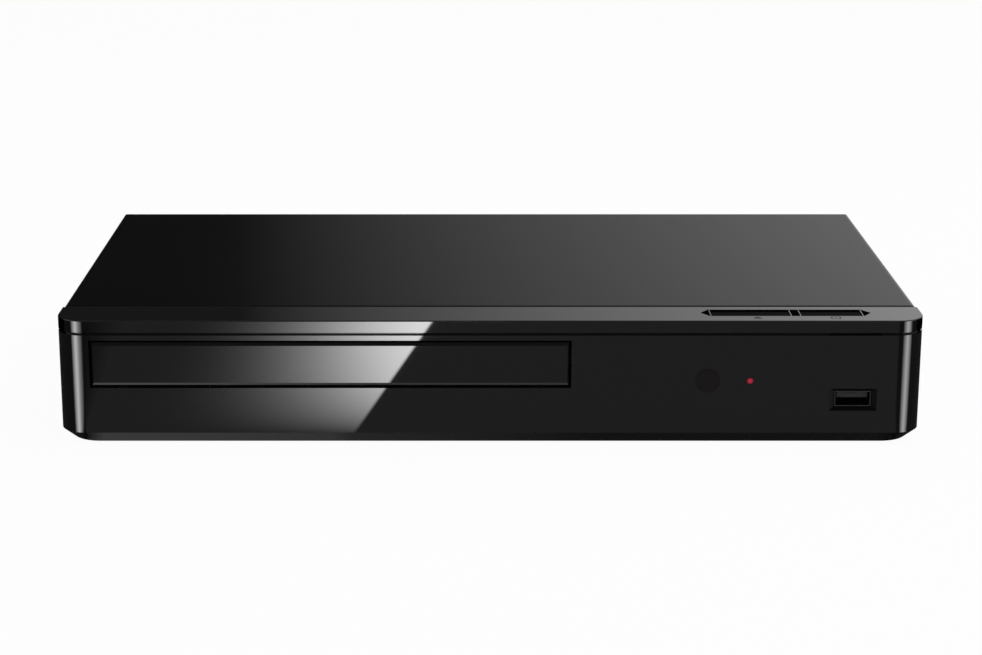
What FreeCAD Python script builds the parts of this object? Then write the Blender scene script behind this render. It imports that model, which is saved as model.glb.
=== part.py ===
import FreeCAD, Part
import math
import os

from FreeCAD import Vector

# A compact disc player, in millimetres. X is to the right seen from the front, Y goes to the rear,
# Z is up. The origin is on the table, under the middle of the player.

# Overall size
width = 313.4
depth = 180.0
fascia_height = 45.6
foot_reveal = 1.6

# Clearances
seam = 0.5
join = 0.5
seat_gap = 0.1
running_gap = 0.08
slide_gap = 0.2
air_gap = 1.0

# Sheet metal of the casing
chassis_sheet = 1.0
cover_sheet = 0.8
panel_sheet = 0.8
panel_foot = 7.0
chassis_lift = 3.0
cover_bend = 2.0
cover_skirt = 2.6
chassis_flange = 9.0
rear_flange = 9.0

# Front fascia and the trim on top of it
corner_radius = 10.0
fascia_wall = 2.5
fascia_depth = 19.3
fascia_lip = 6.0
fascia_lip_thickness = 2.4
fascia_tab = 8.0
tab_root = 2.0
bevel_height = 3.5
bevel_depth = 1.2
bevel_side = 3.8
bevel_radius = 11.0
groove_height = 40.4
groove_width = 0.7
trim_wall = 1.2
trim_top = 2.0
trim_edge = 0.4
trim_bevel = 0.35
trim_ledge = 2.4

# Tray door, with its lower left corner counted from the fascia's
door_width = 172.2
door_height = 16.2
door_thickness = 2.6
door_left = 12.9
door_bottom = 21.2
door_gap = 0.8
door_bevel = 1.2
door_side_bevel = 0.6
door_bevel_depth = 0.6

# Small things in the fascia: places are from its right side and its bottom
window_inset = 78.2
window_z = 23.3
window_radius = 4.3
light_inset = 62.9
light_z = 23.1
light_radius = 1.1
light_pipe_length = 9.0
collar_rim = 1.4
collar_thickness = 1.2
usb_inset = 25.4
usb_z = 16.0
usb_opening_width = 17.7
usb_opening_height = 8.4
usb_width = 13.1
usb_height = 5.7
usb_metal = 0.3
usb_recess = 1.6
usb_tongue_width = 11.1
usb_tongue_height = 1.9
usb_tongue_setback = 1.5
usb_tongue_gap = 0.6
usb_root = 3.0

# Buttons in the top strip
key_line = 11.1
key_depth = 8.2
key_gap = 0.4
key_left_inset = 76.7
key_left_length = 28.7
key_right_inset = 44.2
key_right_length = 22.2
key_recess_depth = 0.5
key_recess_left_inset = 80.4
key_recess_right_inset = 18.5
key_recess_tip = 3.0
key_flange = 0.8
key_flange_thickness = 1.5
key_travel = 0.6
key_stem = 3.0
key_stem_line = 13.0

# Front board and what is on it
board_thickness = 1.6
front_board_line = 18.0
front_board_width = 82.0
front_board_side = 8.7
front_board_bottom = 6.0
front_board_top = 40.0
switch_width = 6.2
switch_height = 5.0
switch_reach = 8.5
plunger_radius = 1.2
plunger_height = 4.6
switch_top = 36.0
receiver_size = 6.0
receiver_depth = 5.0
receiver_stem = 2.4
receiver_stem_height = 2.0
receiver_round = 1.0
led_head_radius = 1.5
led_base = 5.0
led_base_depth = 3.0
post_radius = 3.2
post_drop = 6.0
post_rise = 5.0
post_left = 5.0
post_middle = 42.0
post_right = 4.0

# Rubber feet
foot_radius = 8.0
foot_inset = 28.7
foot_front = 26.0
foot_rear = 20.0
foot_round = 0.6

# Screws
screw_radius = 1.5
screw_head_radius = 2.8
screw_head = 1.4
screw_slot = 0.5
screw_slot_depth = 0.6
screw_length = 5.5
chassis_screw_length = 3.2
screw_hole = screw_radius + seat_gap / 2
cover_screw_inset = 20.7
fascia_screw_inset = 36.7
panel_screw_inset = 46.7
bridge_screw_inset = 8.0

# Boards in the right half
board_lift = 6.0
standoff_radius = 3.0
board_margin = 5.0
main_gap = 4.0
board_gap = 4.0
main_front = 26.0
main_rear = 6.0
power_width = 46.0
power_side = 6.7
power_front = 50.0

# What stands on the boards
chip_size = 20.0
chip_height = 1.4
chip_round = 0.4
memory_round = 0.3
memory_count = 3
memory_width = 11.0
memory_depth = 8.0
memory_height = 1.2
memory_pitch = 16.0
memory_inset = 8.0
memory_distance = 26.0
chip_forward = 8.0
sink_size = 36.0
sink_base = 2.5
sink_height = 11.0
sink_fin = 1.4
sink_fins = 7
transformer_width = 26.0
transformer_depth = 18.0
transformer_window = 12.0
transformer_limb = 4.0
transformer_middle_limb = 7.0
transformer_from_front = 48.0
transformer_aside = 2.0
bobbin_height = 2.0
bobbin_margin = 1.0
winding_gap = 0.3
winding_overhang = 3.0
winding_round = 3.0
can_radius = 9.0
can_height = 26.0
can_from_rear = 31.0
can_inset = 16.0
can_round = 0.8
small_can_radius = 4.0
small_can_height = 14.0
small_can_inset = 12.0
small_can_pitch = 10.0
small_can_row = 12.0
small_can_from_front = 14.0
coil_radius = 9.0
coil_bore = 4.0
coil_thickness = 8.0
coil_from_rear = 32.0
coil_inset = 12.0
coil_base = 2.6
coil_seat = 0.6
coil_base_margin = 2.0
plate_inset = 14.0
plate_thickness = 2.0
plate_length = 28.0
plate_height = 24.0
plate_from_front = 6.0
plate_fins = 5
plate_fin = 1.6
plate_fin_reach = 8.0
plate_fin_lift = 2.6

# Sockets in the rear panel
hdmi_inset = 20.0
hdmi_width = 15.2
hdmi_height = 6.2
hdmi_depth = 12.0
hdmi_metal = 0.6
hdmi_tongue = 1.2
hdmi_tongue_side = 2.0
hdmi_tongue_setback = 1.5
hdmi_back = 3.0
lan_inset = 42.0
lan_width = 16.0
lan_height = 13.6
lan_depth = 21.0
lan_wall = 2.0
lan_cavity_height = 8.0
lan_cavity_depth = 13.0
lan_latch_width = 6.4
lan_latch_floor = 1.0
inlet_inset = 22.0
inlet_width = 22.0
inlet_height = 16.0
inlet_depth = 23.0
inlet_pitch = 8.0
inlet_lobe = 4.1
inlet_cavity = 13.0
inlet_pin_radius = 1.2
inlet_pin_length = 17.0
inlet_pin_setback = 1.5
socket_proud = 0.6
panel_gap = 0.3
vent_width = 2.4
vent_height = 16.0
vent_pitch = 6.0
vent_count = 18
vent_left = 22.7
vent_bottom = 14.0
floor_vents = 5
floor_vent_start = 20.0

# Disc and tray
disc_radius = 60.0
disc_rest_y = -19.0
disc_play = 1.0
disc_ledge = 4.0
tray_width = 146.0
tray_back = 70.0
tray_underside = 28.0
tray_floor = 2.0
tray_step = 1.0
tray_rim = 3.5
tray_flange = 3.5
tray_skin = 1.5
tray_travel = 125.0
spindle_well = 24.0
slot_half = 22.0
slot_reach = 62.0
rim_setback = 2.0
pocket_side = 20.0

# Loader frame
loader_front_gap = 1.5
loader_back = 74.0
loader_wall = 3.0
loader_floor = 2.0
loader_floor_lift = 6.0
loader_bottom_lift = 2.0
loader_wall_top = 36.0
loader_front_bay = 38.0
ledge_width = 4.0
ledge_height = 2.0
tab_height = 1.6
tab_length = 10.0
tab_front = 2.0
tab_rear = 24.0
tab_reach = 3.0
ear_size = 8.0
ear_height = 5.0
ear_front = 16.0
ear_rear = 14.0
bridge_boss = 7.0
bridge_boss_height = 8.0
rear_wall_height = 10.0
notch_bottom = 12.0
notch_top = 25.0
notch_length = 14.0

# Gears, module and tooth shape
module = 1.0
pressure_angle = 20.0
addendum = 0.8
dedendum = 1.1
backlash = 0.12
rack_gap = 4.8
rack_bottom = 22.5
rack_body = 4.0
rack_front_margin = 15.0
rack_spare = 11.0
upper_teeth = 16
lower_teeth = 32
pinion_teeth = 12
gear_line = 24.0
lower_gear_bottom = 13.0
lower_gear_height = 3.5
upper_gear_height = 4.3
gear_hub_radius = 6.0
post_pin_radius = 1.5
post_shoulder = 1.5
post_spare = 0.6
pulley_pitch_radius = 12.0
motor_pulley_pitch_radius = 3.0
belt_size = 1.2
belt_run = 30.0
pulley_bottom = 18.0
pulley_flange = 0.8
pulley_rim = 1.2
pinion_height = 4.4
motor_radius = 10.0
motor_bottom = 5.2
motor_top = 16.0
motor_nose_radius = 3.0
motor_nose = 1.2
motor_seat_wall = 2.0
motor_shaft_radius = 1.0
motor_shaft_reach = 4.0
motor_bore_depth = 5.0

# Clamper
bridge_thickness = 2.4
bridge_margin = 27.0
bridge_round = 3.0
bridge_window_side = 14.0
bridge_window_end = 10.0
bridge_window_margin = 12.0
bridge_window_round = 4.0
clamper_hole = 12.0
clamper_gap = 0.6
clamper_flange = 3.0
clamper_flange_thickness = 1.6
clamper_underside = 34.0
clamper_recess = 8.2
clamper_recess_depth = 1.8

# Lifting deck, drawn level and then lowered
lift_angle = 6.0
hinge_y = 66.0
hinge_z = 18.0
hinge_pin_radius = 2.0
hinge_pin_length = 6.0
bracket_thickness = 3.0
bracket_half = 5.0
bracket_top = 22.0
deck_half = 42.0
deck_gap = 3.0
deck_setback = 7.0
deck_back = 70.0
deck_bottom = 16.5
deck_thickness = 2.4
deck_beam = 8.0
deck_upstand_half = 10.0
deck_upstand_top = 24.0
deck_upstand_thickness = 2.0
lift_pin_radius = 1.5
lift_pin_length = 4.6
lift_pin_z = 21.0
slider_travel = 16.0
slider_thickness = 2.0
slider_bottom = 5.6
slider_top = 24.0
slider_left = 34.0
slider_right = 22.0
slot_gap = 0.4
hook_start = 14.0
hook_length = 6.0
hook_thickness = 1.2
hook_drop = 2.0
bush_height = 2.0
bush_radius = 3.4
bush_offset = 4.0
bush_front = 13.0
bush_rear = 20.0
mechanism_sheet = 1.0
mechanism_margin = 1.0
mechanism_window = 15.0
mechanism_front = 3.0

# Spindle motor and turntable
stator_radius = 14.0
stator_base = 1.5
stator_core_radius = 10.6
stator_core_height = 3.4
stator_slots = 9
stator_slot_radius = 1.5
stator_slot_circle = 8.0
bearing_radius = 3.0
spindle_radius = 1.25
spindle_depth = 0.8
spindle_end_gap = 0.2
rotor_radius = 12.5
rotor_wall = 0.9
rotor_height = 5.4
table_radius = 14.0
table_height = 2.2
table_top = 32.9
hub_radius = 7.4
hub_tip_radius = 5.6
hub_height = 1.8

# Pickup and what carries it
rod_radius = 1.5
rod_offset = 22.0
rod_z = 25.0
rod_start = -12.5
rod_spare = 2.0
clip_length = 3.0
clip_wall = 1.0
pickup_edge = 3.0
pickup_start = -3.0
pickup_length = 22.0
pickup_bottom = 22.3
pickup_top = 27.6
pickup_travel = 34.0
lens_set_in = 8.0
lens_radius = 2.8
lens_cell = 1.4
lens_height = 1.6
lens_wall = 1.2
lens_cell_play = 0.3
lens_dome = 0.75
lens_well_depth = 0.6
screw_thread_radius = 1.5
feed_inset = 11.0
feed_z = 23.6
feed_motor_radius = 4.0
feed_motor_start = -30.0
feed_motor_length = 16.0
feed_bracket = 1.0
feed_bore_depth = 3.0
feed_shaft_reach = 2.0
nut_half = 4.0
nut_length = 8.0
nut_set_in = 7.0

# Ribbon cables and wires
ribbon_thickness = 0.3
ribbon_bend = 5.0
front_ribbon_width = 14.0
drive_ribbon_width = 10.0
wire_radius = 0.7
wire_pitch = 2.2
wire_count = 4
wire_bend = 5.0
connector_height = 4.0
connector_depth = 4.0
connector_margin = 1.0
wire_plug_depth = 3.2
drive_plug_inset = 9.0
main_plug_inset = 12.0
plug_row = 10.0
front_plug_inset = 22.0
front_plug_z = 22.0
front_socket_row = 7.0
power_plug_row = 62.0
crest_drop = 2.5
loader_board_gap = 6.0
loader_board_side = 3.0
loader_board_front = 4.0

# Places worked out from the sizes above
front = -depth / 2
rear = depth / 2
half_width = width / 2
top = foot_reveal + fascia_height
rear_face = rear - screw_head
panel_outside = rear_face - cover_sheet
panel_inside = panel_outside - panel_sheet
chassis_top = chassis_lift + chassis_sheet
fascia_back = front + fascia_depth
fascia_inside = front + fascia_wall
cover_front = fascia_back + seam
cover_inside = top - cover_sheet
chassis_half = half_width - cover_sheet - seat_gap
chassis_front = front + fascia_lip + seat_gap
fascia_top = foot_reveal + groove_height - groove_width / 2
trim_bottom = foot_reveal + groove_height + groove_width / 2
trim_underside = top - trim_top
board_bottom = chassis_top + board_lift
board_top = board_bottom + board_thickness
window_x = half_width - window_inset
light_x = half_width - light_inset
usb_x = half_width - usb_inset
key_left_start = half_width - key_left_inset
key_right_start = half_width - key_right_inset
key_recess_start = half_width - key_recess_left_inset
key_recess_end = half_width - key_recess_right_inset
front_board_right = half_width - front_board_side
front_board_left = front_board_right - front_board_width
loader_x = -half_width + door_left + door_width / 2
loader_half = tray_width / 2 + air_gap
main_left = loader_x + loader_half + loader_wall + ear_size + main_gap
power_right = half_width - power_side
power_left = power_right - power_width
main_right = power_left - board_gap
hdmi_x = main_left + hdmi_inset
lan_x = main_left + lan_inset
inlet_x = power_right - inlet_inset
deck_half_opening = deck_half + deck_gap
rack_pitch_offset = deck_half_opening + rack_gap
feed_offset = deck_half - feed_inset
pickup_half = rod_offset + pickup_edge
rod_end = pickup_start + pickup_length + pickup_travel + rod_spare + clip_length
rack_teeth = int((tray_travel + rack_spare) / (math.pi * module))
loader_front = fascia_inside + loader_front_gap
loader_bottom = chassis_top + loader_bottom_lift
floor_bottom = chassis_top + loader_floor_lift
floor_top = floor_bottom + loader_floor
bay_back = loader_front + loader_front_bay
deck_front = bay_back + deck_setback
tray_front = front + door_thickness
tray_floor_top = tray_underside + tray_floor
tray_top = tray_floor_top + tray_rim
gear_y = front + gear_line
drive_x = loader_x - rack_pitch_offset + module * upper_teeth / 2
pulley_x = drive_x + module * (lower_teeth + pinion_teeth) / 2
motor_x = pulley_x + belt_run
deck_top = deck_bottom + deck_thickness
sheet_bottom = deck_top + bush_height
sheet_top = sheet_bottom + mechanism_sheet
key_y = front + key_line
front_board_front = front + front_board_line
front_board_back = front_board_front + board_thickness
bridge_top = loader_wall_top + bridge_thickness


def block(x, y, z):
    """A box between two values on each axis."""
    return Part.makeBox(x[1] - x[0], y[1] - y[0], z[1] - z[0], Vector(x[0], y[0], z[0]))


def upright(radius, x, y, z):
    """A cylinder along Z between two heights."""
    return Part.makeCylinder(radius, z[1] - z[0], Vector(x, y, z[0]))


def along_y(radius, x, z, y):
    """A cylinder along Y between two values of Y."""
    return Part.makeCylinder(radius, y[1] - y[0], Vector(x, y[0], z), Vector(0, 1, 0))


def along_x(radius, y, z, x):
    """A cylinder along X between two values of X."""
    return Part.makeCylinder(radius, x[1] - x[0], Vector(x[0], y, z), Vector(1, 0, 0))


def both_sides(x0, x1):
    """The same stretch of X on the right and on the left of the loader's middle."""
    return [(loader_x + x0, loader_x + x1), (loader_x - x1, loader_x - x0)]


def prism(points, z):
    """A flat polygon pulled up between two heights."""
    corners = [Vector(x, y, z[0]) for x, y in points]
    face = Part.Face(Part.makePolygon(corners + corners[:1]))
    return face.extrude(Vector(0, 0, z[1] - z[0]))


def soften(solid, radius, keep):
    """Round the edges whose two ends both satisfy a test."""
    edges = [edge for edge in solid.Edges if all(keep(vertex.Point) for vertex in edge.Vertexes)]
    return solid.makeFillet(radius, edges)


def rounded_block(x, y, z, radius):
    """A box with its four upright edges rounded."""
    solid = block(x, y, z)
    edges = [edge for edge in solid.Edges if abs(edge.tangentAt(edge.FirstParameter).z) > 0.9]
    return solid.makeFillet(radius, edges)


def fascia_outline(side, face_y, radius, z):
    """A plan outline of the fascia with rounded front corners: open at the rear in the real piece."""
    centre_x = side - radius
    centre_y = face_y + radius
    slant = radius * math.sqrt(0.5)
    left_rear = Vector(-side, fascia_back, z)
    left_side = Vector(-side, centre_y, z)
    left_bend = Vector(-centre_x - slant, centre_y - slant, z)
    left_front = Vector(-centre_x, face_y, z)
    right_front = Vector(centre_x, face_y, z)
    right_bend = Vector(centre_x + slant, centre_y - slant, z)
    right_side = Vector(side, centre_y, z)
    right_rear = Vector(side, fascia_back, z)
    return Part.Wire([
        Part.LineSegment(left_rear, left_side).toShape(),
        Part.Arc(left_side, left_bend, left_front).toShape(),
        Part.LineSegment(left_front, right_front).toShape(),
        Part.Arc(right_front, right_bend, right_side).toShape(),
        Part.LineSegment(right_side, right_rear).toShape(),
        Part.LineSegment(right_rear, left_rear).toShape(),
    ])


def fascia_wire(inset, z):
    """The fascia's outline in plan, drawn in by the same inset all round."""
    return fascia_outline(half_width - inset, front + inset, corner_radius - inset, z)


def fascia_prism(inset, z):
    """The fascia's plan pulled up between two heights."""
    return Part.Face(fascia_wire(inset, z[0])).extrude(Vector(0, 0, z[1] - z[0]))


def fascia_taper(low, high):
    """A solid between two outlines of the fascia."""
    return Part.makeLoft([low, high], True, True)


def screw(point, direction, length=screw_length):
    """A screw: the point is under its head, and it points along the direction."""
    axis = Vector(*direction)
    shank = Part.makeCylinder(screw_radius, length, point, axis)
    head = Part.makeCylinder(screw_head_radius, screw_head, point - axis * screw_head, axis)
    half = screw_head_radius * 0.6
    bars = [Part.makeBox(2 * half, screw_slot, screw_slot_depth, Vector(-half, -screw_slot / 2, 0)),
            Part.makeBox(screw_slot, 2 * half, screw_slot_depth, Vector(-screw_slot / 2, -half, 0))]
    cross = bars[0].fuse(bars[1])
    cross.Placement = FreeCAD.Placement(point - axis * screw_head,
                                        FreeCAD.Rotation(Vector(0, 0, 1), axis))
    return shank.fuse(head).cut(cross).removeSplitter()


def lowered(solid):
    """Turn a piece of the lifting deck from level down to where it rests."""
    turned = solid.copy()
    turned.rotate(Vector(loader_x, hinge_y, hinge_z), Vector(1, 0, 0), lift_angle)
    return turned


def group(solids):
    """Separate solids kept in one piece's file."""
    return Part.makeCompound(solids)


# Where the screws go
fascia_screw_xs = [-half_width + fascia_screw_inset, 0.0, half_width - fascia_screw_inset]
panel_screw_xs = [-half_width + panel_screw_inset, loader_x + loader_half, main_right]


def cover_screw_xs():
    """The three rear screws: one in the middle and one near each side."""
    return [-half_width + cover_screw_inset, 0.0, half_width - cover_screw_inset]


cover_screw_z = top - rear_flange / 2


def board_holes(left, right, low, high):
    """The four screw places of a board, drawn in from its corners."""
    xs = (left + board_margin, right - board_margin)
    ys = (low + board_margin, high - board_margin)
    return [(x, y) for x in xs for y in ys]


main_board_y = (front + main_front, panel_inside - main_rear)
power_board_y = (front + power_front, panel_inside - main_rear)
main_holes = board_holes(main_left, main_right, *main_board_y)
power_holes = board_holes(power_left, power_right, *power_board_y)
front_posts = [
    (front_board_left + post_left, front_board_top - post_drop),
    (front_board_left + post_middle, front_board_bottom + post_rise),
    (front_board_right - post_right, front_board_top - post_drop),
]


def loader_ears():
    """Middle of each of the four ears that hold the loader down."""
    xs = (loader_x - loader_half - loader_wall - ear_size / 2,
          loader_x + loader_half + loader_wall + ear_size / 2)
    ys = (loader_front + ear_front, loader_back - ear_rear)
    return [(x, y) for x in xs for y in ys]


bridge_y = (disc_rest_y - bridge_margin, disc_rest_y + bridge_margin)


def bridge_screws():
    """Middle of each of the four bosses that the clamper bridge is screwed to."""
    reach = loader_half + loader_wall + bridge_boss / 2
    ys = (bridge_y[0] + bridge_screw_inset, bridge_y[1] - bridge_screw_inset)
    return [(loader_x + side * reach, y) for side in (-1, 1) for y in ys]


# Casing


def bottom_chassis():
    """Folded steel pan with side flanges, standoffs for the boards, and vents under the power board."""
    inner_half = half_width - fascia_wall - bevel_side - slide_gap
    pan = block((-chassis_half, chassis_half), (cover_front, panel_outside), (chassis_lift, chassis_top))
    pan = pan.fuse(block((-inner_half, inner_half), (chassis_front, cover_front),
                         (chassis_lift, chassis_top)))
    for side in (-1, 1):
        xs = sorted((side * (chassis_half - chassis_sheet), side * chassis_half))
        pan = pan.fuse(block(xs, (cover_front + air_gap, panel_inside),
                             (chassis_lift, chassis_lift + chassis_flange)))
    for x, y in main_holes + power_holes:
        pan = pan.fuse(upright(standoff_radius, x, y, (chassis_top, board_bottom)))
        pan = pan.cut(upright(screw_hole, x, y, (chassis_lift - 1, board_bottom + 1)))
    for x, y in loader_ears():
        pan = pan.cut(upright(screw_hole, x, y, (chassis_lift - 1, chassis_top + 1)))
    for x in fascia_screw_xs:
        pan = pan.cut(upright(screw_hole, x, chassis_front + fascia_tab / 2,
                              (chassis_lift - 1, chassis_top + 1)))
    for x in panel_screw_xs:
        pan = pan.cut(upright(screw_hole, x, panel_inside - panel_foot / 2,
                              (chassis_lift - 1, chassis_top + 1)))
    low = power_board_y[0] + floor_vent_start
    high = low + (power_board_y[1] - power_board_y[0]) / 3
    for index in range(floor_vents):
        x = power_left + 2 * board_margin + index * vent_pitch
        pan = pan.cut(block((x, x + vent_width), (low, high), (chassis_lift - 1, chassis_top + 1)))
    return pan.removeSplitter()


def top_cover():
    """Folded steel cover: top, two sides and a narrow flange down the rear panel."""
    outside = block((-half_width, half_width), (cover_front, rear_face), (cover_skirt, top))
    outside = bend_top(outside, half_width, top, cover_bend)
    inside = block((cover_sheet - half_width, half_width - cover_sheet),
                   (cover_front - 1, rear_face + 1), (cover_skirt - 1, cover_inside))
    inside = bend_top(inside, half_width - cover_sheet, cover_inside, cover_bend - cover_sheet)
    cover = outside.cut(inside)
    flange_half = half_width - 2 * cover_bend
    flange = block((-flange_half, flange_half), (panel_outside, rear_face),
                   (top - rear_flange, cover_inside))
    for x in cover_screw_xs():
        flange = flange.cut(along_y(screw_hole, x, cover_screw_z, (panel_outside - 1, rear_face + 1)))
    return cover.fuse(flange).removeSplitter()


def bend_top(solid, half, height, radius):
    """Round the two long upper edges of a box."""
    edges = [edge for edge in solid.Edges
             if all(abs(abs(v.Point.x) - half) < 0.01 and abs(v.Point.z - height) < 0.01
                    for v in edge.Vertexes)]
    return solid.makeFillet(radius, edges)


def rear_panel():
    """Flat steel panel with cut-outs for the sockets and a field of vent slots."""
    panel_half = chassis_half - chassis_sheet - seat_gap
    panel = block((-panel_half, panel_half), (panel_inside, panel_outside),
                  (chassis_top, cover_inside - seat_gap))
    panel = panel.fuse(block((-panel_half, panel_half), (panel_inside - panel_foot, panel_inside),
                             (chassis_top, chassis_top + panel_sheet)))
    cuts = []
    for x, size, height in ((hdmi_x, hdmi_width, hdmi_height), (lan_x, lan_width, lan_height),
                            (inlet_x, inlet_width, inlet_height)):
        cuts.append(block((x - size / 2 - panel_gap, x + size / 2 + panel_gap),
                          (panel_inside - 1, panel_outside + 1),
                          (board_top - panel_gap, board_top + height + panel_gap)))
    for index in range(vent_count):
        x = -half_width + vent_left + index * vent_pitch
        cuts.append(block((x, x + vent_width), (panel_inside - 1, panel_outside + 1),
                          (vent_bottom, vent_bottom + vent_height)))
    for x in cover_screw_xs():
        cuts.append(along_y(screw_hole, x, cover_screw_z, (panel_inside - 1, panel_outside + 1)))
    for x in panel_screw_xs:
        cuts.append(upright(screw_hole, x, panel_inside - panel_foot / 2,
                            (chassis_top - 1, chassis_top + panel_sheet + 1)))
    return panel.cut(cuts).removeSplitter()


def fascia_openings():
    """The holes in the fascia for the door, window, light and USB socket."""
    door_x = -half_width + door_left
    door_z = foot_reveal + door_bottom
    ys = (front - 1, fascia_inside + 1)
    door = block((door_x - door_gap, door_x + door_width + door_gap), ys,
                 (door_z - door_gap, door_z + door_height + door_gap))
    window = along_y(window_radius + seat_gap, window_x, foot_reveal + window_z, ys)
    light = along_y(light_radius + seat_gap, light_x, foot_reveal + light_z, ys)
    return [door, window, light, usb_funnel()]


def usb_rectangle(half_x, half_z, y):
    """A rectangle around the USB socket's axis, square to it."""
    middle = foot_reveal + usb_z
    corners = [Vector(usb_x - half_x, y, middle - half_z), Vector(usb_x + half_x, y, middle - half_z),
               Vector(usb_x + half_x, y, middle + half_z), Vector(usb_x - half_x, y, middle + half_z)]
    return Part.makePolygon(corners + corners[:1])


def usb_funnel():
    """The opening for the USB socket: wide at the face, sloping in to the shell."""
    mouth = (usb_opening_width / 2, usb_opening_height / 2)
    throat = (usb_width / 2 + panel_gap, usb_height / 2 + panel_gap)
    funnel = Part.makeLoft([usb_rectangle(*mouth, front), usb_rectangle(*throat, front + usb_recess)],
                           True, True)
    lip = Part.Face(usb_rectangle(*mouth, front)).extrude(Vector(0, -1, 0))
    hole = Part.Face(usb_rectangle(*throat, front + usb_recess)).extrude(Vector(0, fascia_wall, 0))
    return lip.fuse([funnel, hole])


def front_fascia():
    """Lower front moulding with a bevelled bottom edge, a tongue for the trim, and posts inside."""
    bevel_top = foot_reveal + bevel_height
    low = fascia_outline(half_width - bevel_side, front + bevel_depth, bevel_radius, foot_reveal)
    shell = fascia_taper(low, fascia_wire(0, bevel_top))
    shell = shell.fuse(fascia_prism(0, (bevel_top, fascia_top)))
    shell = shell.fuse(fascia_prism(trim_wall + seat_gap, (fascia_top, trim_underside)))
    lip_top = foot_reveal + fascia_lip_thickness
    hollow = fascia_prism(fascia_wall, (lip_top, trim_underside + 1))
    below = block((-half_width, half_width), (front + fascia_lip, fascia_back + 1),
                  (foot_reveal - 1, trim_underside + 1))
    side_wall = half_width - fascia_wall
    low_wall = side_wall - bevel_side
    room = block((-low_wall, low_wall), (front, rear), (0, bevel_top))
    room = room.fuse(block((-side_wall, side_wall), (front, rear), (bevel_top, top)))
    shell = shell.cut(hollow.fuse(below).common(room)).cut(fascia_openings())
    for x in fascia_screw_xs:
        tab = block((x - fascia_tab / 2, x + fascia_tab / 2),
                    (front + fascia_lip - tab_root, chassis_front + fascia_tab),
                    (chassis_top, chassis_top + fascia_lip_thickness))
        root = block((x - fascia_tab / 2, x + fascia_tab / 2),
                     (front + fascia_lip - tab_root, front + fascia_lip),
                     (lip_top - join, chassis_top + join))
        hole = upright(screw_hole, x, chassis_front + fascia_tab / 2, (0, top / 2))
        shell = shell.fuse([tab.cut(hole), root])
    for x, z in front_posts:
        post = along_y(post_radius, x, z, (fascia_inside - join, front_board_front))
        shell = shell.fuse(post).cut(along_y(screw_hole, x, z, (front_board_front - screw_length, rear)))
    return shell.removeSplitter()


def key_recess():
    """The shallow pointed recess that holds the two buttons."""
    half = key_depth / 2 + key_gap
    tip = key_recess_tip
    outline = [(key_recess_start, key_y), (key_recess_start + tip, key_y - half),
               (key_recess_end - tip, key_y - half), (key_recess_end, key_y),
               (key_recess_end - tip, key_y + half), (key_recess_start + tip, key_y + half)]
    return prism(outline, (top - key_recess_depth, top + 1))


def key_block(start, length, grow, z):
    """A box on a button's outline, grown on all four sides."""
    return block((start - grow, start + length + grow),
                 (key_y - key_depth / 2 - grow, key_y + key_depth / 2 + grow), z)


def fascia_top_trim():
    """The band above the groove and the strip behind it, with the button recess."""
    bevel_top = trim_bottom + trim_bevel
    shell = fascia_taper(fascia_wire(trim_bevel, trim_bottom), fascia_wire(0, bevel_top))
    shell = shell.fuse(fascia_prism(0, (bevel_top, top))).removeSplitter()
    edges = [edge for edge in shell.Edges
             if all(abs(v.Point.z - top) < 0.01 for v in edge.Vertexes)
             and min(v.Point.y for v in edge.Vertexes) < fascia_back - 0.01]
    shell = shell.makeFillet(trim_edge, edges)
    shell = shell.cut(fascia_prism(trim_wall, (trim_bottom - 1, trim_underside)))
    inner = half_width - trim_wall
    shell = shell.cut(block((-inner, inner), (fascia_back - trim_wall, fascia_back + 1),
                            (trim_bottom - 1, trim_underside)))
    ledge_half = half_width - 2 * cover_bend - cover_sheet
    ledge = block((-ledge_half, ledge_half), (fascia_back - trim_ledge, fascia_back + trim_ledge),
                  (trim_underside - 1, cover_inside - seat_gap))
    shell = shell.fuse(ledge).cut(key_recess())
    for start, length in ((key_left_start, key_left_length), (key_right_start, key_right_length)):
        shell = shell.cut(key_block(start, length, key_gap, (trim_underside - 1, top + 1)))
    return shell.removeSplitter()


def rubber_feet():
    """Four round feet stuck under the chassis."""
    feet = []
    for x in (-half_width + foot_inset, half_width - foot_inset):
        for y in (front + foot_front, rear - foot_rear):
            foot = upright(foot_radius, x, y, (0, chassis_lift))
            low = [edge for edge in foot.Edges if all(v.Point.z < 0.01 for v in edge.Vertexes)]
            feet.append(foot.makeFillet(foot_round, low))
    return group(feet)


def tray_door():
    """The wide bar on the tray's front, with bevelled edges."""
    x0 = -half_width + door_left
    z0 = foot_reveal + door_bottom
    x1 = x0 + door_width
    z1 = z0 + door_height

    def rectangle(side, end, y):
        corners = [Vector(x0 + side, y, z0 + end), Vector(x1 - side, y, z0 + end),
                   Vector(x1 - side, y, z1 - end), Vector(x0 + side, y, z1 - end)]
        return Part.makePolygon(corners + corners[:1])

    outline = rectangle(0, 0, front + door_bevel_depth)
    bevel = Part.makeLoft([rectangle(door_side_bevel, door_bevel, front), outline], True, True)
    slab = Part.Face(outline).extrude(Vector(0, door_thickness - door_bevel_depth, 0))
    return bevel.fuse(slab).removeSplitter()


# Front panel pieces


def collared_pin(radius, x, z, length):
    """A round pin flush with the fascia, with a collar that seats on the fascia's inside."""
    pin = along_y(radius, x, z, (front, front + length))
    collar = along_y(radius + collar_rim, x, z, (fascia_inside, fascia_inside + collar_thickness))
    return pin.fuse(collar).removeSplitter()


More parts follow.
